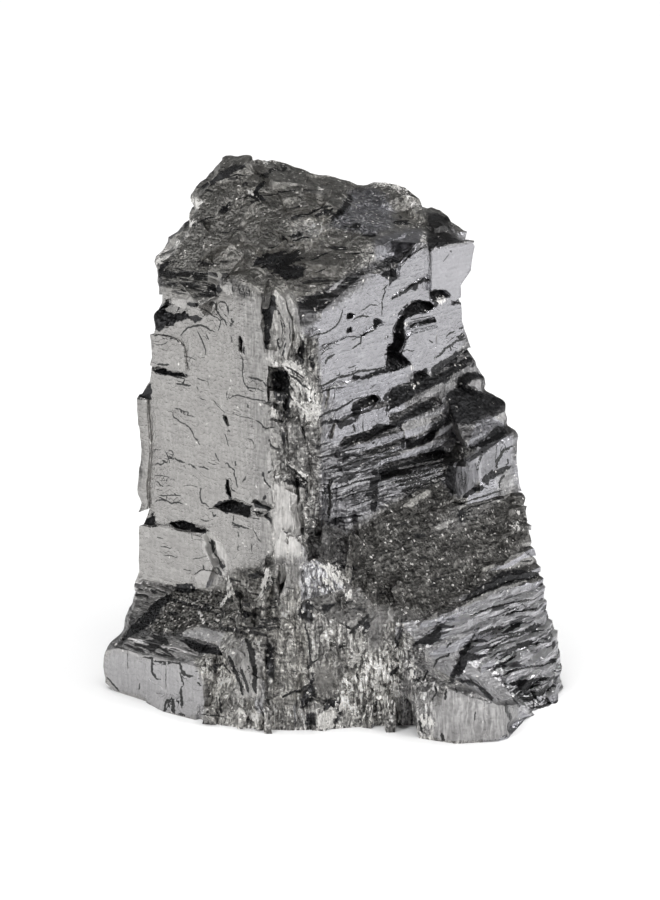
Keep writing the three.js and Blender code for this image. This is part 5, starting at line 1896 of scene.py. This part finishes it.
def marked_crack_group() -> bpy.types.NodeTree:
    """The cracks and the patches that are set out on the mesh, with ragged rims.

    Returns:
        The group: Line is 1 in a crack, Step is which side of it a point is on, the rest are 1 in a patch:
        painted shade, light patches with part of the floor's reflection painted in, and painted glints.
    """
    wire, given, out = new_group(
        "marked cracks and patches",
        (
            Socket("Vector", "Vector"),
            Socket("Off", value=1.0),
            Socket("Half Width", value=-1.0),
            Socket("In Dark", value=-1.0),
            Socket("In Light", value=-1.0),
            Socket("In Bright", value=-1.0),
            Socket("Grain", value=0.0),
        ),
        (Socket("Line"), Socket("Step"), Socket("Dark"), Socket("Light"), Socket("Bright")),
    )
    ragged = wire.math("SUBTRACT", wire.noise(given["Vector"], 1.4, detail=4.0), 0.5)
    off = wire.plus(given["Off"], ragged, 0.3)
    uneven = wire.ramp(wire.noise(given["Vector"], 2.9, detail=1.0), 0.25, 0.75, 0.5, 1.4)
    width = wire.math("MULTIPLY", given["Half Width"], uneven)
    wire.feed(out["Line"], wire.ramp(wire.math("SUBTRACT", width, wire.math("ABSOLUTE", off)), -0.02, 0.015))
    wire.feed(out["Step"], wire.ramp(off, -0.06, 0.06))
    needles = wire.noise(wire.stretch(given["Vector"], (3.2, 3.2, 1.1)), 1.0, detail=2.0)
    for name, reach, softening in (("Dark", 0.9, 4.0), ("Light", 0.7, 2.0), ("Bright", 0.8, 0.0)):
        inside = wire.plus(given["In " + name], ragged, reach)
        if name == "Bright":
            inside = wire.plus(inside, wire.math("SUBTRACT", needles, 0.46), 1.6)
        softer = wire.math("ADD", wire.math("MULTIPLY", given["Grain"], softening), 1.0)
        wire.feed(out[name], wire.ramp(wire.math("DIVIDE", inside, softer), -0.03, 0.04))
    return wire.tree


# ---------------------------------------------------------------- finishes


@dataclass(frozen=True)
class OreFinish:
    """Bare galena: bright lead-grey cleavage, duller where it is broken.

    Attributes:
        crack: The colour in a crack.
        dark: The painted shade colour, near black, of a marked tread or pocket and of the dark stripes.
        light: How light a marked light patch is: a lighter colour that paints in part of the floor's
            reflection.
        spark: The painted glint colour, near white, of a grain or a marked facet that flashes.
        warm: The tint of warm stretches.
        cool: The tint of cool stretches.
        grain_size: The scale of the grains, in grains a millimetre.
        relief: How deep the bumps are, in metres.
    """

    crack: tuple[float, float, float, float] = (0.05, 0.05, 0.05, 1.0)
    dark: tuple[float, float, float, float] = (0.05, 0.05, 0.052, 1.0)
    light: float = 0.42
    spark: tuple[float, float, float, float] = (0.9, 0.88, 0.85, 1.0)
    warm: tuple[float, float, float, float] = (1.03, 1.0, 0.945, 1.0)
    cool: tuple[float, float, float, float] = (0.985, 0.98, 1.04, 1.0)
    grain_size: float = 3.6
    relief: float = 0.0003

    def material(self, name: str) -> bpy.types.Material:
        """Builds the material.

        Args:
            name: Its name.

        Returns:
            The material.
        """
        made = bpy.data.materials.new(name)
        made.use_nodes = True
        made.node_tree.nodes.clear()
        wire = Wire(made.node_tree)
        shader = wire.node("ShaderNodeBsdfPrincipled")
        output = wire.node("ShaderNodeOutputMaterial")
        wire.feed(output.inputs["Surface"], shader.outputs["BSDF"])
        stone = wire.attribute("stone_place", "Vector")
        mixed = ("streaks", "fibres", "mottle", "stripes", "chunks")
        amounts = {name.capitalize(): wire.attribute(name) for name in mixed}
        texture = place(wire, ore_texture_group(), Vector=stone, **amounts)
        lines = place(
            wire,
            cleavage_lines_group(),
            Vector=wire.stretch(wire.attribute("face_place", "Vector"), (0.13, 0.36, 0.3)),
            Sheets=7.0,
            Width=0.03,
            Cover=wire.ramp(wire.attribute("cracks"), 0.0, 1.0, 0.2, 0.55),
        )
        crack = place(
            wire,
            marked_crack_group(),
            Vector=stone,
            Off=wire.attribute("crack_off"),
            Half_Width=wire.attribute("crack_half"),
            In_Dark=wire.attribute("in_painted_shade"),
            In_Light=wire.attribute("in_painted_reflection"),
            In_Bright=wire.attribute("in_painted_glint"),
            Grain=wire.attribute("grain"),
        )
        patch = wire.math("MAXIMUM", crack.outputs["Light"], crack.outputs["Bright"])
        open_part = wire.math("SUBTRACT", 1.0, crack.outputs["Dark"])
        grain = wire.attribute("grain")
        leaning = wire.math("MAXIMUM", grain, wire.math("MULTIPLY", crack.outputs["Dark"], 0.6))
        grains = place(
            wire,
            crystal_grain_group(),
            Vector=stone,
            Grains=self.grain_size,
            Tilt=wire.math("MULTIPLY", leaning, 1.25),
            Share=wire.math("MULTIPLY", grain, wire.ramp(wire.noise(stone, 0.9), 0.42, 0.68, 0.01, 0.16)),
            Faced=wire.math("MAXIMUM", patch, wire.math("MULTIPLY", wire.attribute("faced"), open_part)),
            Facet=wire.attribute("facet", "Vector"),
            Normal=wire.node("ShaderNodeNewGeometry").outputs["Normal"],
        )
        grey = wire.math("MULTIPLY", wire.attribute("tone"), texture.outputs["Tone"])
        tint = wire.blend(wire.ramp(wire.attribute("warm"), -1.0, 1.0), self.cool, self.warm)
        colour = wire.multiply(tint, grey)
        # Painted shade: dark stripes along the layers get the near-black colour.
        colour = wire.blend(wire.math("MULTIPLY", texture.outputs["Stripe"], 0.85), colour, self.dark)
        # Painted shade: marked treads and pockets get the near-black colour.
        colour = wire.blend(crack.outputs["Dark"], colour, wire.multiply(self.dark, texture.outputs["Tone"]))
        # Light patches: a lighter colour that paints in part of the floor's reflection.
        gentle = wire.math("POWER", texture.outputs["Tone"], 0.6)
        light = wire.multiply(tint, wire.math("MULTIPLY", gentle, self.light))
        colour = wire.blend(crack.outputs["Light"], colour, light)
        # Painted glints: flashing grains and marked facets get the near-white glint colour.
        painted_glints = wire.math("MULTIPLY", grains.outputs["Facets"], grains.outputs["Shade"])
        colour = wire.blend(wire.math("MAXIMUM", painted_glints, crack.outputs["Bright"]), colour, self.spark)
        colour = wire.blend(wire.math("MULTIPLY", lines.outputs["Lines"], 0.7), colour, self.crack)
        colour = wire.blend(crack.outputs["Line"], colour, self.crack)
        wire.feed(shader.inputs["Base Color"], colour)
        scattering = wire.math("MAXIMUM", wire.math("MULTIPLY", patch, 0.5), wire.attribute("dull"))
        wire.feed(shader.inputs["Metallic"], wire.math("SUBTRACT", 1.0, scattering))
        rough = wire.plus(wire.attribute("rough"), crack.outputs["Dark"], 0.15)
        wire.feed(shader.inputs["Roughness"], rough)
        height = wire.plus(texture.outputs["Height"], lines.outputs["Height"], 0.12)
        height = wire.plus(height, crack.outputs["Step"], 0.12)
        height = wire.plus(height, crack.outputs["Dark"], -0.5)
        bump = wire.node("ShaderNodeBump")
        bump.inputs["Distance"].default_value = self.relief
        bump.inputs["Strength"].default_value = 0.7
        wire.feed(bump.inputs["Height"], height)
        wire.feed(bump.inputs["Normal"], grains.outputs["Normal"])
        wire.feed(shader.inputs["Normal"], bump.outputs["Normal"])
        return made


# ---------------------------------------------------------------- the stone

# How far each kind of surface is roughened, in millimetres, and what it is like where no region lies.
ROUGHNESS = {
    Zone.CLEAVAGE: 0.02,
    Zone.TREAD: 0.05,
    Zone.TOP: 0.4,
    Zone.TORN: 0.2,
    Zone.SLOPE: 0.25,
    Zone.LAYERED: 0.12,
}
PLAIN_SURFACES = {
    Zone.CLEAVAGE: Surface(0.34, 0.27, 0.03, 0.1, 0.0, 0.4, 0.4, 0.3, 0.0),
    Zone.TREAD: Surface(0.2, 0.4, 0.3, 0.3, 0.0, 0.0, 0.6, 0.8, 0.0),
    Zone.TOP: Surface(0.42, 0.42, 0.5, 0.3, 0.0, 0.1, 0.3, 1.1, 0.6),
    Zone.TORN: Surface(0.41, 0.34, 1.2, 0.1, 1.3, 0.1, 0.3, 1.3, 0.5, 0.9, 0.0, 0.25),
    Zone.SLOPE: Surface(0.2, 0.42, 0.7, 0.3, 0.0, 0.0, 0.6, 1.0, 0.4),
    Zone.LAYERED: Surface(0.34, 0.34, 0.25, 0.5, 0.0, 0.0, 0.9, 0.4, -0.2, 0.0, 0.8),
}


def front_plan() -> SetOut:
    """All the marks of the front."""
    return SetOut(
        view=FrontView(),
        cracks=cracks(LEFT_CRACKS) + cracks(RIGHT_CRACKS),
        dark=rims(PAINTED_SHADE_RIMS),
        light=rims(PAINTED_REFLECTION_RIMS),
        bright=rims(PAINTED_GLINT_RIMS),
        regions=stretches(REGIONS),
        pushes=pushes(PUSHES),
    )


@dataclass(frozen=True)
class ZoneLimits:
    """Where each kind of surface ends, in millimetres in the crystal's axes.

    Attributes:
        left_break: The slanting break of the top over its left part.
        right_break: The same over its right part.
        right_from: From where along s the right part begins.
        top_depth: How far under the breaks the top reaches.
        top_rim: How far in from the clean faces it begins.
        level: How level a tread is, as a cosine.
        top_level: How level the top is.
        square: How squarely a clean face lies across s or t.
        front: How far back the broken front edge reaches.
        front_top: How high it reaches.
        left_clean: From where along t the left-hand face is clean.
        right_clean: From where along s the right-hand face is clean.
        flank: How far the flared foot stands out of the right-hand face.
        slope_top: How high the dark slope on it reaches.
        layers_top: How high the layers under the slope reach.
    """

    left_break: Slant = Slant(55.6, 0.4, 0.38)
    right_break: Slant = Slant(67.2, -0.16, 0.27)
    right_from: float = 13.0
    top_depth: float = 2.6
    top_rim: float = 0.3
    level: float = 0.3
    top_level: float = 0.15
    square: float = 0.97
    front: float = 9.0
    front_top: float = 61.0
    left_clean: float = 5.2
    right_clean: float = 4.2
    flank: float = 1.0
    slope_top: float = 28.0
    layers_top: float = 14.0


@dataclass(frozen=True)
class Scatter:
    """Patches strewn over the sides and the back.

    Attributes:
        size: How big they are along the axes, in millimetres.
        seed: Which draw of them.
        few: From 0, many, to 1, none.
    """

    size: tuple[float, float, float]
    seed: int
    few: float


@dataclass
class GalenaLump:
    """The lump of ore, as a fine skin over its solid.

    Attributes:
        node: The CAD node that it stands for.
        crystal: Where the crystal's axes lie.
        refiner: How fine the skin is.
        plan: The marks of the front.
        limits: Where each kind of surface ends.
        noise: What roughens it.
        sharp_deg: The bend from which an edge is left sharp.
        ragged: How far the sharp edges wander, in millimetres.
        inset: How far inside the solid's box the skin stays, in millimetres.
        worn: What worn patches of the cleavage are like.
        crumb: How big the roughening is along the axes, in millimetres.
        step: How thick a step of the cleavage is, in millimetres.
        step_shade: How far its steps differ in tone.
        worn_size: How big worn patches are along the axes, in millimetres.
        wander: The same for the bends of the cracks behind.
        split: The cracks of the sides and the back.
        shaded: The dark patches there.
        lit: The light patches there.
        apart: How far apart the three ways of a cleavage face are laid for their cracks.
    """

    node: str = "galena"
    crystal: CrystalFrame = field(default_factory=CrystalFrame)
    refiner: Refiner = field(default_factory=Refiner)
    plan: SetOut = field(default_factory=front_plan)
    limits: ZoneLimits = field(default_factory=ZoneLimits)
    noise: GrainNoise = field(default_factory=GrainNoise)
    sharp_deg: float = 18.0
    ragged: float = 0.16
    inset: float = 0.001
    worn: Surface = Surface(0.24, 0.4, 0.8, 0.4, 0.2, 0.0, 0.9, 1.3, 0.3, 0.5, 0.0, 0.2)
    crumb: tuple[float, float, float] = (1.6, 1.6, 1.3)
    step: float = 0.25
    step_shade: float = 0.2
    worn_size: tuple[float, float, float] = (9.0, 9.0, 6.0)
    wander: tuple[float, float, float] = (10.0, 10.0, 4.0)
    split: Scatter = Scatter((6.0, 6.0, 6.0), 22, 0.02)
    shaded: Scatter = Scatter((7.0, 7.0, 2.0), 31, 0.4)
    lit: Scatter = Scatter((5.0, 5.0, 2.0), 32, 0.6)
    apart: float = 40.0

    def zones(self, shell: Shell) -> np.ndarray:
        """The kind of surface that each triangle belongs to.

        Args:
            shell: The fine shell, before it is roughened.

        Returns:
            M zone numbers.
        """
        end = self.limits
        s, t, z = self.crystal.to_crystal(shell.middles).T
        ns, nt, nz = (shell.normals @ self.crystal.axes.T).T
        zone = np.full(len(s), Zone.CLEAVAGE.value)
        zone[nz > end.level] = Zone.TREAD.value
        right = np.where(s < end.right_from, np.inf, end.right_break.at(s, t))
        high = z > np.minimum(end.left_break.at(s, t), right) - end.top_depth
        zone[high & (nz > end.top_level) & (s > end.top_rim) & (t > end.top_rim)] = Zone.TOP.value
        left_clean = (np.abs(ns) > end.square) & (t > end.left_clean)
        right_clean = (np.abs(nt) > end.square) & (s > end.right_clean)
        front = (s < end.front) & (t < end.front) & ~left_clean & ~right_clean
        zone[front & (z < end.front_top)] = Zone.TORN.value
        flank = -t > end.flank
        zone[flank & (z < end.slope_top) & (nz > end.level) & (z > end.layers_top)] = Zone.SLOPE.value
        zone[flank & (z <= end.layers_top) & (s > end.front)] = Zone.LAYERED.value
        return zone

    def build(self) -> bpy.types.Object:
        """Makes the skin.

        Returns:
            The object.
        """
        shell = self.refiner.refine(Shell.of_node(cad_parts[self.node]), self.crystal, self.plan)
        zone = self.zones(shell)
        amount = shell.spread(np.array([ROUGHNESS[kind] for kind in Zone])[zone])
        places = self.crystal.to_crystal(shell.points)
        draws = [GrainNoise(self.noise.seed + k).layered(places, self.crumb, 2) for k in range(3)]
        amount = amount + self.ragged * self._on_edges(shell)
        moved = self.plan.eased(self.crystal.to_row(places + np.stack(draws, axis=1) * amount[:, None]))
        on_ground = shell.points[:, 2] < ON_GROUND
        moved[on_ground] = shell.points[on_ground]
        low, high = (np.array(corner) / MM for corner in CAD_BOX)
        moved = np.clip(moved, low + self.inset, high - self.inset)
        return self.write("galena_skin", Shell(moved, shell.triangles), shell, zone)

    def write(self, name: str, skin: Shell, plain: Shell, zone: np.ndarray) -> bpy.types.Object:
        """Writes the skin as a Blender mesh, with what the finish reads.

        Args:
            name: The object's name.
            skin: The roughened shell.
            plain: The same shell before it was roughened.
            zone: The zone of each triangle.

        Returns:
            The object.
        """
        mesh = bpy.data.meshes.new(name)
        mesh.from_pydata((skin.points * MM).tolist(), [], skin.triangles.tolist())
        mesh.update(calc_edges=True)
        self._mark_sharp(mesh, plain, zone)
        places = self.crystal.to_crystal(plain.points)
        normals = plain.spread(plain.normals)
        toward = normals @ self.plan.view.back
        facing = (toward > -0.05) & (places[:, 2] > ON_GROUND)
        sheet = self.plan.view.sheet(plain.points)
        self._vectors(mesh, "stone_place", "POINT", places)
        self._vectors(mesh, "face_place", "CORNER", self._face_places(plain, places))
        self._vectors(mesh, "facet", "POINT", self._facets(normals, places, facing))
        for label, values in zip(Surface.names(), self._surfaces(plain, zone, sheet, facing).T):
            self._numbers(mesh, label, "FACE", values)
        for label, values in self._marked(places, toward, sheet, facing).items():
            self._numbers(mesh, label, "POINT", values)
        obj = bpy.data.objects.new(name, mesh)
        bpy.context.scene.collection.objects.link(obj)
        return obj

    def _surfaces(self, plain: Shell, zone: np.ndarray, sheet: np.ndarray, facing: np.ndarray) -> np.ndarray:
        """What the surface is like on each triangle.

        Args:
            plain: The shell before it was roughened.
            zone: The zone of each triangle.
            sheet: Its points in sheet points.
            facing: Which points face the front.

        Returns:
            M rows of surface values.
        """
        values = np.array([PLAIN_SURFACES[kind].values for kind in Zone])[zone]
        ns, nt, _ = np.abs(plain.normals @ self.crystal.axes.T).T
        values[:, Surface.column("warm")] += 0.5 * (ns > 0.9) - 0.9 * (nt > 0.9)
        values = self._weathered(plain, zone, values)
        on_points, covered = self.plan.paint_regions(sheet, facing, plain.spread(values))
        on_triangles = on_points[plain.triangles].mean(axis=1)
        surface = values + (on_triangles - values) * covered[plain.triangles].mean(axis=1)[:, None]
        # Painted light: the more a part faces up, the lighter its colour, so level parts look as light as
        # the upright faces that mirror the floor.
        level = np.clip((plain.normals[:, 2] - 0.15) / 0.6, 0, 1)
        surface[:, Surface.column("tone")] *= 1 + 2.2 * surface[:, Surface.column("painted_level_light")] * level
        return surface

    def _marked(
        self, places: np.ndarray, toward: np.ndarray, sheet: np.ndarray, facing: np.ndarray
    ) -> dict[str, np.ndarray]:
        """How each point lies against the cracks and the patches.

        Args:
            places: N by 3, in the crystal's axes.
            toward: How squarely each point faces the front.
            sheet: N by 2, in sheet points.
            facing: Which points face the front.

        Returns:
            N distances in millimetres for each name that the finish reads.
        """
        off, half = self.plan.crack_fields(sheet, facing)
        wander = GrainNoise(self.noise.seed + 21).layered(places, self.wander, 3)
        split = np.clip(self._scattered(places, toward, self.split), -0.3, 0.16)
        # The dark rims and strewn dark patches give painted shade, the light rims and strewn light patches
        # give light patches that paint in part of the floor's reflection, the bright rims give painted
        # glints.
        dark = self.plan.rim_field(sheet, facing, self.plan.dark)
        light = self.plan.rim_field(sheet, facing, self.plan.light)
        return {
            "crack_off": np.where(facing, off, 3.0 * wander),
            "crack_half": np.where(facing, half, split),
            "in_painted_shade": np.maximum(dark, self._scattered(places, toward, self.shaded)),
            "in_painted_reflection": np.maximum(light, self._scattered(places, toward, self.lit)),
            "in_painted_glint": self.plan.rim_field(sheet, facing, self.plan.bright),
        }

    def _weathered(self, plain: Shell, zone: np.ndarray, values: np.ndarray) -> np.ndarray:
        """Gives each step of the cleavage its own shade, and duller stretches here and there.

        Args:
            plain: The shell before it was roughened.
            zone: The zone of each triangle.
            values: M rows of surface values.

        Returns:
            M rows of surface values.
        """
        places = self.crystal.to_crystal(plain.middles)
        kind = np.argmax(np.abs(plain.normals @ self.crystal.axes.T) * (1, 1, 0.75), axis=1)
        layer = np.round(places[np.arange(len(places)), kind] / self.step)
        shade = 1 + self.step_shade * np.sin(layer * 12.9898 + kind * 78.233 + self.noise.seed)
        worn = GrainNoise(self.noise.seed + 9).layered(places, self.worn_size, 2)
        share = np.clip((worn - 0.05) / 0.5, 0, 0.7) * (zone == Zone.CLEAVAGE.value)
        made = values + (np.array(self.worn.values) - values) * share[:, None]
        made[:, Surface.column("tone")] *= np.where(zone == Zone.CLEAVAGE.value, shade, 1.0)
        return made

    def _scattered(self, places: np.ndarray, toward: np.ndarray, patches: Scatter) -> np.ndarray:
        """How far inside a strewn patch each point is.

        Args:
            places: N by 3, in the crystal's axes.
            toward: How squarely each point faces the front.
            patches: What is strewn.

        Returns:
            N distances in millimetres, at least -1.
        """
        drawn = GrainNoise(self.noise.seed + patches.seed).layered(places, patches.size, 3) - patches.few
        behind = np.clip(-0.05 - toward, 0, 0.2) / 0.2
        return np.clip(-1.0 + behind * (1.0 + 0.8 * min(patches.size) * drawn), -1.0, 2.0)

    def _face_places(self, plain: Shell, places: np.ndarray) -> np.ndarray:
        """Where each corner lies on the cleavage face that its triangle is nearest to.

        Args:
            plain: The shell before it was roughened.
            places: Its points in the crystal's axes.

        Returns:
            M by 3 by 3: along the face, up it, and which face.
        """
        ns, nt, nz = np.abs(plain.normals @ self.crystal.axes.T).T
        kind = np.argmax(np.stack([nt, ns, nz * 0.75]), axis=0)[:, None]
        s, t, z = np.moveaxis(places[plain.triangles], -1, 0)
        way = kind * self.apart + np.zeros_like(s)
        return np.stack([np.where(kind == 1, t, s), np.where(kind == 2, t, z), way], axis=-1)

    def _facets(self, normals: np.ndarray, across: np.ndarray, facing: np.ndarray) -> np.ndarray:
        """The way that little cleavage facets face, round the stone.

        Args:
            normals: N by 3, in the row frame.
            across: N by 3, the points in the crystal's axes.
            facing: Which points face the front.

        Returns:
            N by 3, in the row frame.
        """
        ns, nt, _ = (normals @ self.crystal.axes.T).T
        ns, nt = (np.where(facing & (value > -0.3), -0.3 + 0.1 * value, value) for value in (ns, nt))
        on_s = np.abs(ns) + 0.2 * np.sign(across[:, 1] - across[:, 0]) * facing > np.abs(nt)
        facet = np.zeros((len(normals), 3))
        facet[on_s, 0] = np.sign(ns[on_s])
        facet[~on_s, 1] = np.sign(nt[~on_s] + 1e-9)
        return facet @ self.crystal.axes

    @staticmethod
    def _vectors(mesh: bpy.types.Mesh, name: str, domain: str, values: np.ndarray) -> None:
        """Keeps a vector on every point or corner of a mesh."""
        layer = mesh.attributes.new(name, "FLOAT_VECTOR", domain)
        layer.data.foreach_set("vector", values.astype(np.float32).ravel())

    @staticmethod
    def _numbers(mesh: bpy.types.Mesh, name: str, domain: str, values: np.ndarray) -> None:
        """Keeps a number on every point or face of a mesh."""
        layer = mesh.attributes.new(name, "FLOAT", domain)
        layer.data.foreach_set("value", values.astype(np.float32))

    @staticmethod
    def _bends(shell: Shell) -> tuple[np.ndarray, np.ndarray, np.ndarray, np.ndarray]:
        """How far the surface bends at each edge.

        Args:
            shell: The shell.

        Returns:
            The ends of each edge, its two triangles, and the cosine of its bend.
        """
        pairs, which = shell.edges()
        first = np.full(len(pairs), -1)
        second = np.full(len(pairs), -1)
        rows = np.repeat(np.arange(len(which)), 3)
        flat = which.ravel()
        first[flat[::-1]] = rows[::-1]
        second[flat] = rows
        normals = shell.normals
        return pairs, first, second, (normals[first] * normals[second]).sum(axis=1)

    def _on_edges(self, shell: Shell) -> np.ndarray:
        """1 for each point on a sharp edge, 0 elsewhere."""
        pairs, _, _, bend = self._bends(shell)
        touched = np.zeros(len(shell.points))
        touched[pairs[bend < 0.8].ravel()] = 1.0
        return touched

    def _mark_sharp(self, mesh: bpy.types.Mesh, plain: Shell, zone: np.ndarray) -> None:
        """Marks the edges that the light breaks on.

        Args:
            mesh: The Blender mesh.
            plain: The shell before it was roughened.
            zone: The zone of each triangle.
        """
        pairs, first, second, bend = self._bends(plain)
        crumbly = (zone == Zone.TOP.value) | (zone == Zone.SLOPE.value)
        soft = crumbly[first] & crumbly[second]
        sharp = bend < np.where(soft, -1.0, math.cos(math.radians(self.sharp_deg)))
        ends = np.empty(len(mesh.edges) * 2, dtype=np.int32)
        mesh.edges.foreach_get("vertices", ends)
        ends = np.sort(ends.reshape(-1, 2), axis=1)
        order = np.searchsorted(plain.keys(pairs), plain.keys(ends))
        layer = mesh.attributes.new("sharp_edge", "BOOLEAN", "EDGE")
        layer.data.foreach_set("value", sharp[order])

    def dress(self, obj: bpy.types.Object) -> None:
        """Gives the skin its finish and joins it to the frame.

        Args:
            obj: The skin.
        """
        obj.data.materials.append(OreFinish().material("galena ore"))
        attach(obj, "root")
        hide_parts(self.node)
        LOG.info("%s: %d triangles", obj.name, len(obj.data.polygons))


# ---------------------------------------------------------------- the studio


@dataclass(frozen=True)
class Lamp:
    """One soft light.

    Attributes:
        name: Its name.
        place: Where it hangs, in metres.
        size: Its width and height, in metres.
        power: Its power, in watts.
        mirrored: Whether the ore mirrors it.
    """

    name: str
    place: tuple[float, float, float]
    size: tuple[float, float]
    power: float
    mirrored: bool


@dataclass
class Studio:
    """The floor, the lights and the camera.

    Attributes:
        view: Where the camera stands.
        lens: Its focal length, in millimetres.
        floor_reach: Half the width of the floor, in metres.
        floor_grey: How light the floor is.
        low_sky: The room's colour near the ground.
        high_sky: Its colour from a little above it.
        lamps: The lights.
    """

    view: FrontView = field(default_factory=FrontView)
    lens: float = 142.9
    floor_reach: float = 8.0
    floor_grey: float = 0.9
    low_sky: tuple[float, float, float, float] = (0.85, 0.85, 0.86, 1.0)
    high_sky: tuple[float, float, float, float] = (0.17, 0.17, 0.17, 1.0)
    lamps: tuple[Lamp, ...] = (
        Lamp("key over the floor", (0.0, 0.0, 1.6), (2.4, 2.4), 42.0, False),
        Lamp("spark left", (-0.9, -0.9, 0.75), (0.25, 0.25), 6.0, True),
        Lamp("spark right", (1.1, -0.5, 0.55), (0.25, 0.25), 6.0, True),
    )

    def build(self) -> None:
        """Makes all of it."""
        self._floor()
        self._sky()
        for lamp in self.lamps:
            self._light(lamp)
        self._camera()
        LOG.info("studio: %d lamps", len(self.lamps))

    def _floor(self) -> None:
        """The plain pale floor."""
        reach = self.floor_reach
        mesh = bpy.data.meshes.new("floor")
        rim = [(-reach, -reach, 0), (reach, -reach, 0), (reach, reach, 0), (-reach, reach, 0)]
        mesh.from_pydata(rim, [], [(0, 1, 2, 3)])
        mesh.update()
        floor = bpy.data.objects.new("floor", mesh)
        bpy.context.scene.collection.objects.link(floor)
        material = bpy.data.materials.new("pale floor")
        material.use_nodes = True
        shader = material.node_tree.nodes["Principled BSDF"]
        shader.inputs["Base Color"].default_value = (*[self.floor_grey] * 3, 1.0)
        shader.inputs["Roughness"].default_value = 0.9
        shader.inputs["Specular IOR Level"].default_value = 0.1
        mesh.materials.append(material)

    def _sky(self) -> None:
        """A dim room, pale near the ground."""
        world = bpy.data.worlds.new("room")
        bpy.context.scene.world = world
        world.use_nodes = True
        wire = Wire(world.node_tree)
        background = world.node_tree.nodes["Background"]
        place_in_room = wire.node("ShaderNodeTexCoord")
        split = wire.node("ShaderNodeSeparateXYZ")
        wire.feed(split.inputs[0], place_in_room.outputs["Generated"])
        height = wire.ramp(split.outputs["Z"], 0.02, 0.22)
        wire.feed(background.inputs["Color"], wire.blend(height, self.low_sky, self.high_sky))
        background.inputs["Strength"].default_value = 1.0

    def _light(self, lamp: Lamp) -> None:
        """One lamp, turned towards the stone.

        Args:
            lamp: Which.
        """
        data = bpy.data.lights.new(lamp.name, "AREA")
        data.shape = "RECTANGLE"
        data.size, data.size_y = lamp.size
        data.energy = lamp.power
        obj = bpy.data.objects.new(lamp.name, data)
        bpy.context.scene.collection.objects.link(obj)
        obj.location = lamp.place
        away = Vector(self.view.target) * MM - obj.location
        obj.rotation_euler = away.to_track_quat("-Z", "Y").to_euler()
        obj.visible_glossy = lamp.mirrored
        obj.visible_camera = False

    def _camera(self) -> None:
        """The camera, square to the front edge."""
        data = bpy.data.cameras.new("camera")
        data.lens = self.lens
        data.sensor_width = 36.0
        data.clip_start = 0.05
        data.clip_end = 50.0
        obj = bpy.data.objects.new("camera", data)
        bpy.context.scene.collection.objects.link(obj)
        back = Vector(self.view.back)
        obj.location = (Vector(self.view.target) + back * self.view.distance) * MM
        obj.rotation_euler = (-back).to_track_quat("-Z", "Y").to_euler()
        bpy.context.scene.camera = obj


def main() -> None:
    """Builds the stone and the studio, in order."""
    logging.basicConfig(level=logging.INFO, format="%(name)s: %(message)s")
    bpy.context.scene.view_settings.view_transform = "Standard"
    Studio().build()
    lump = GalenaLump()
    lump.dress(lump.build())


if __name__ == "__main__":
    main()
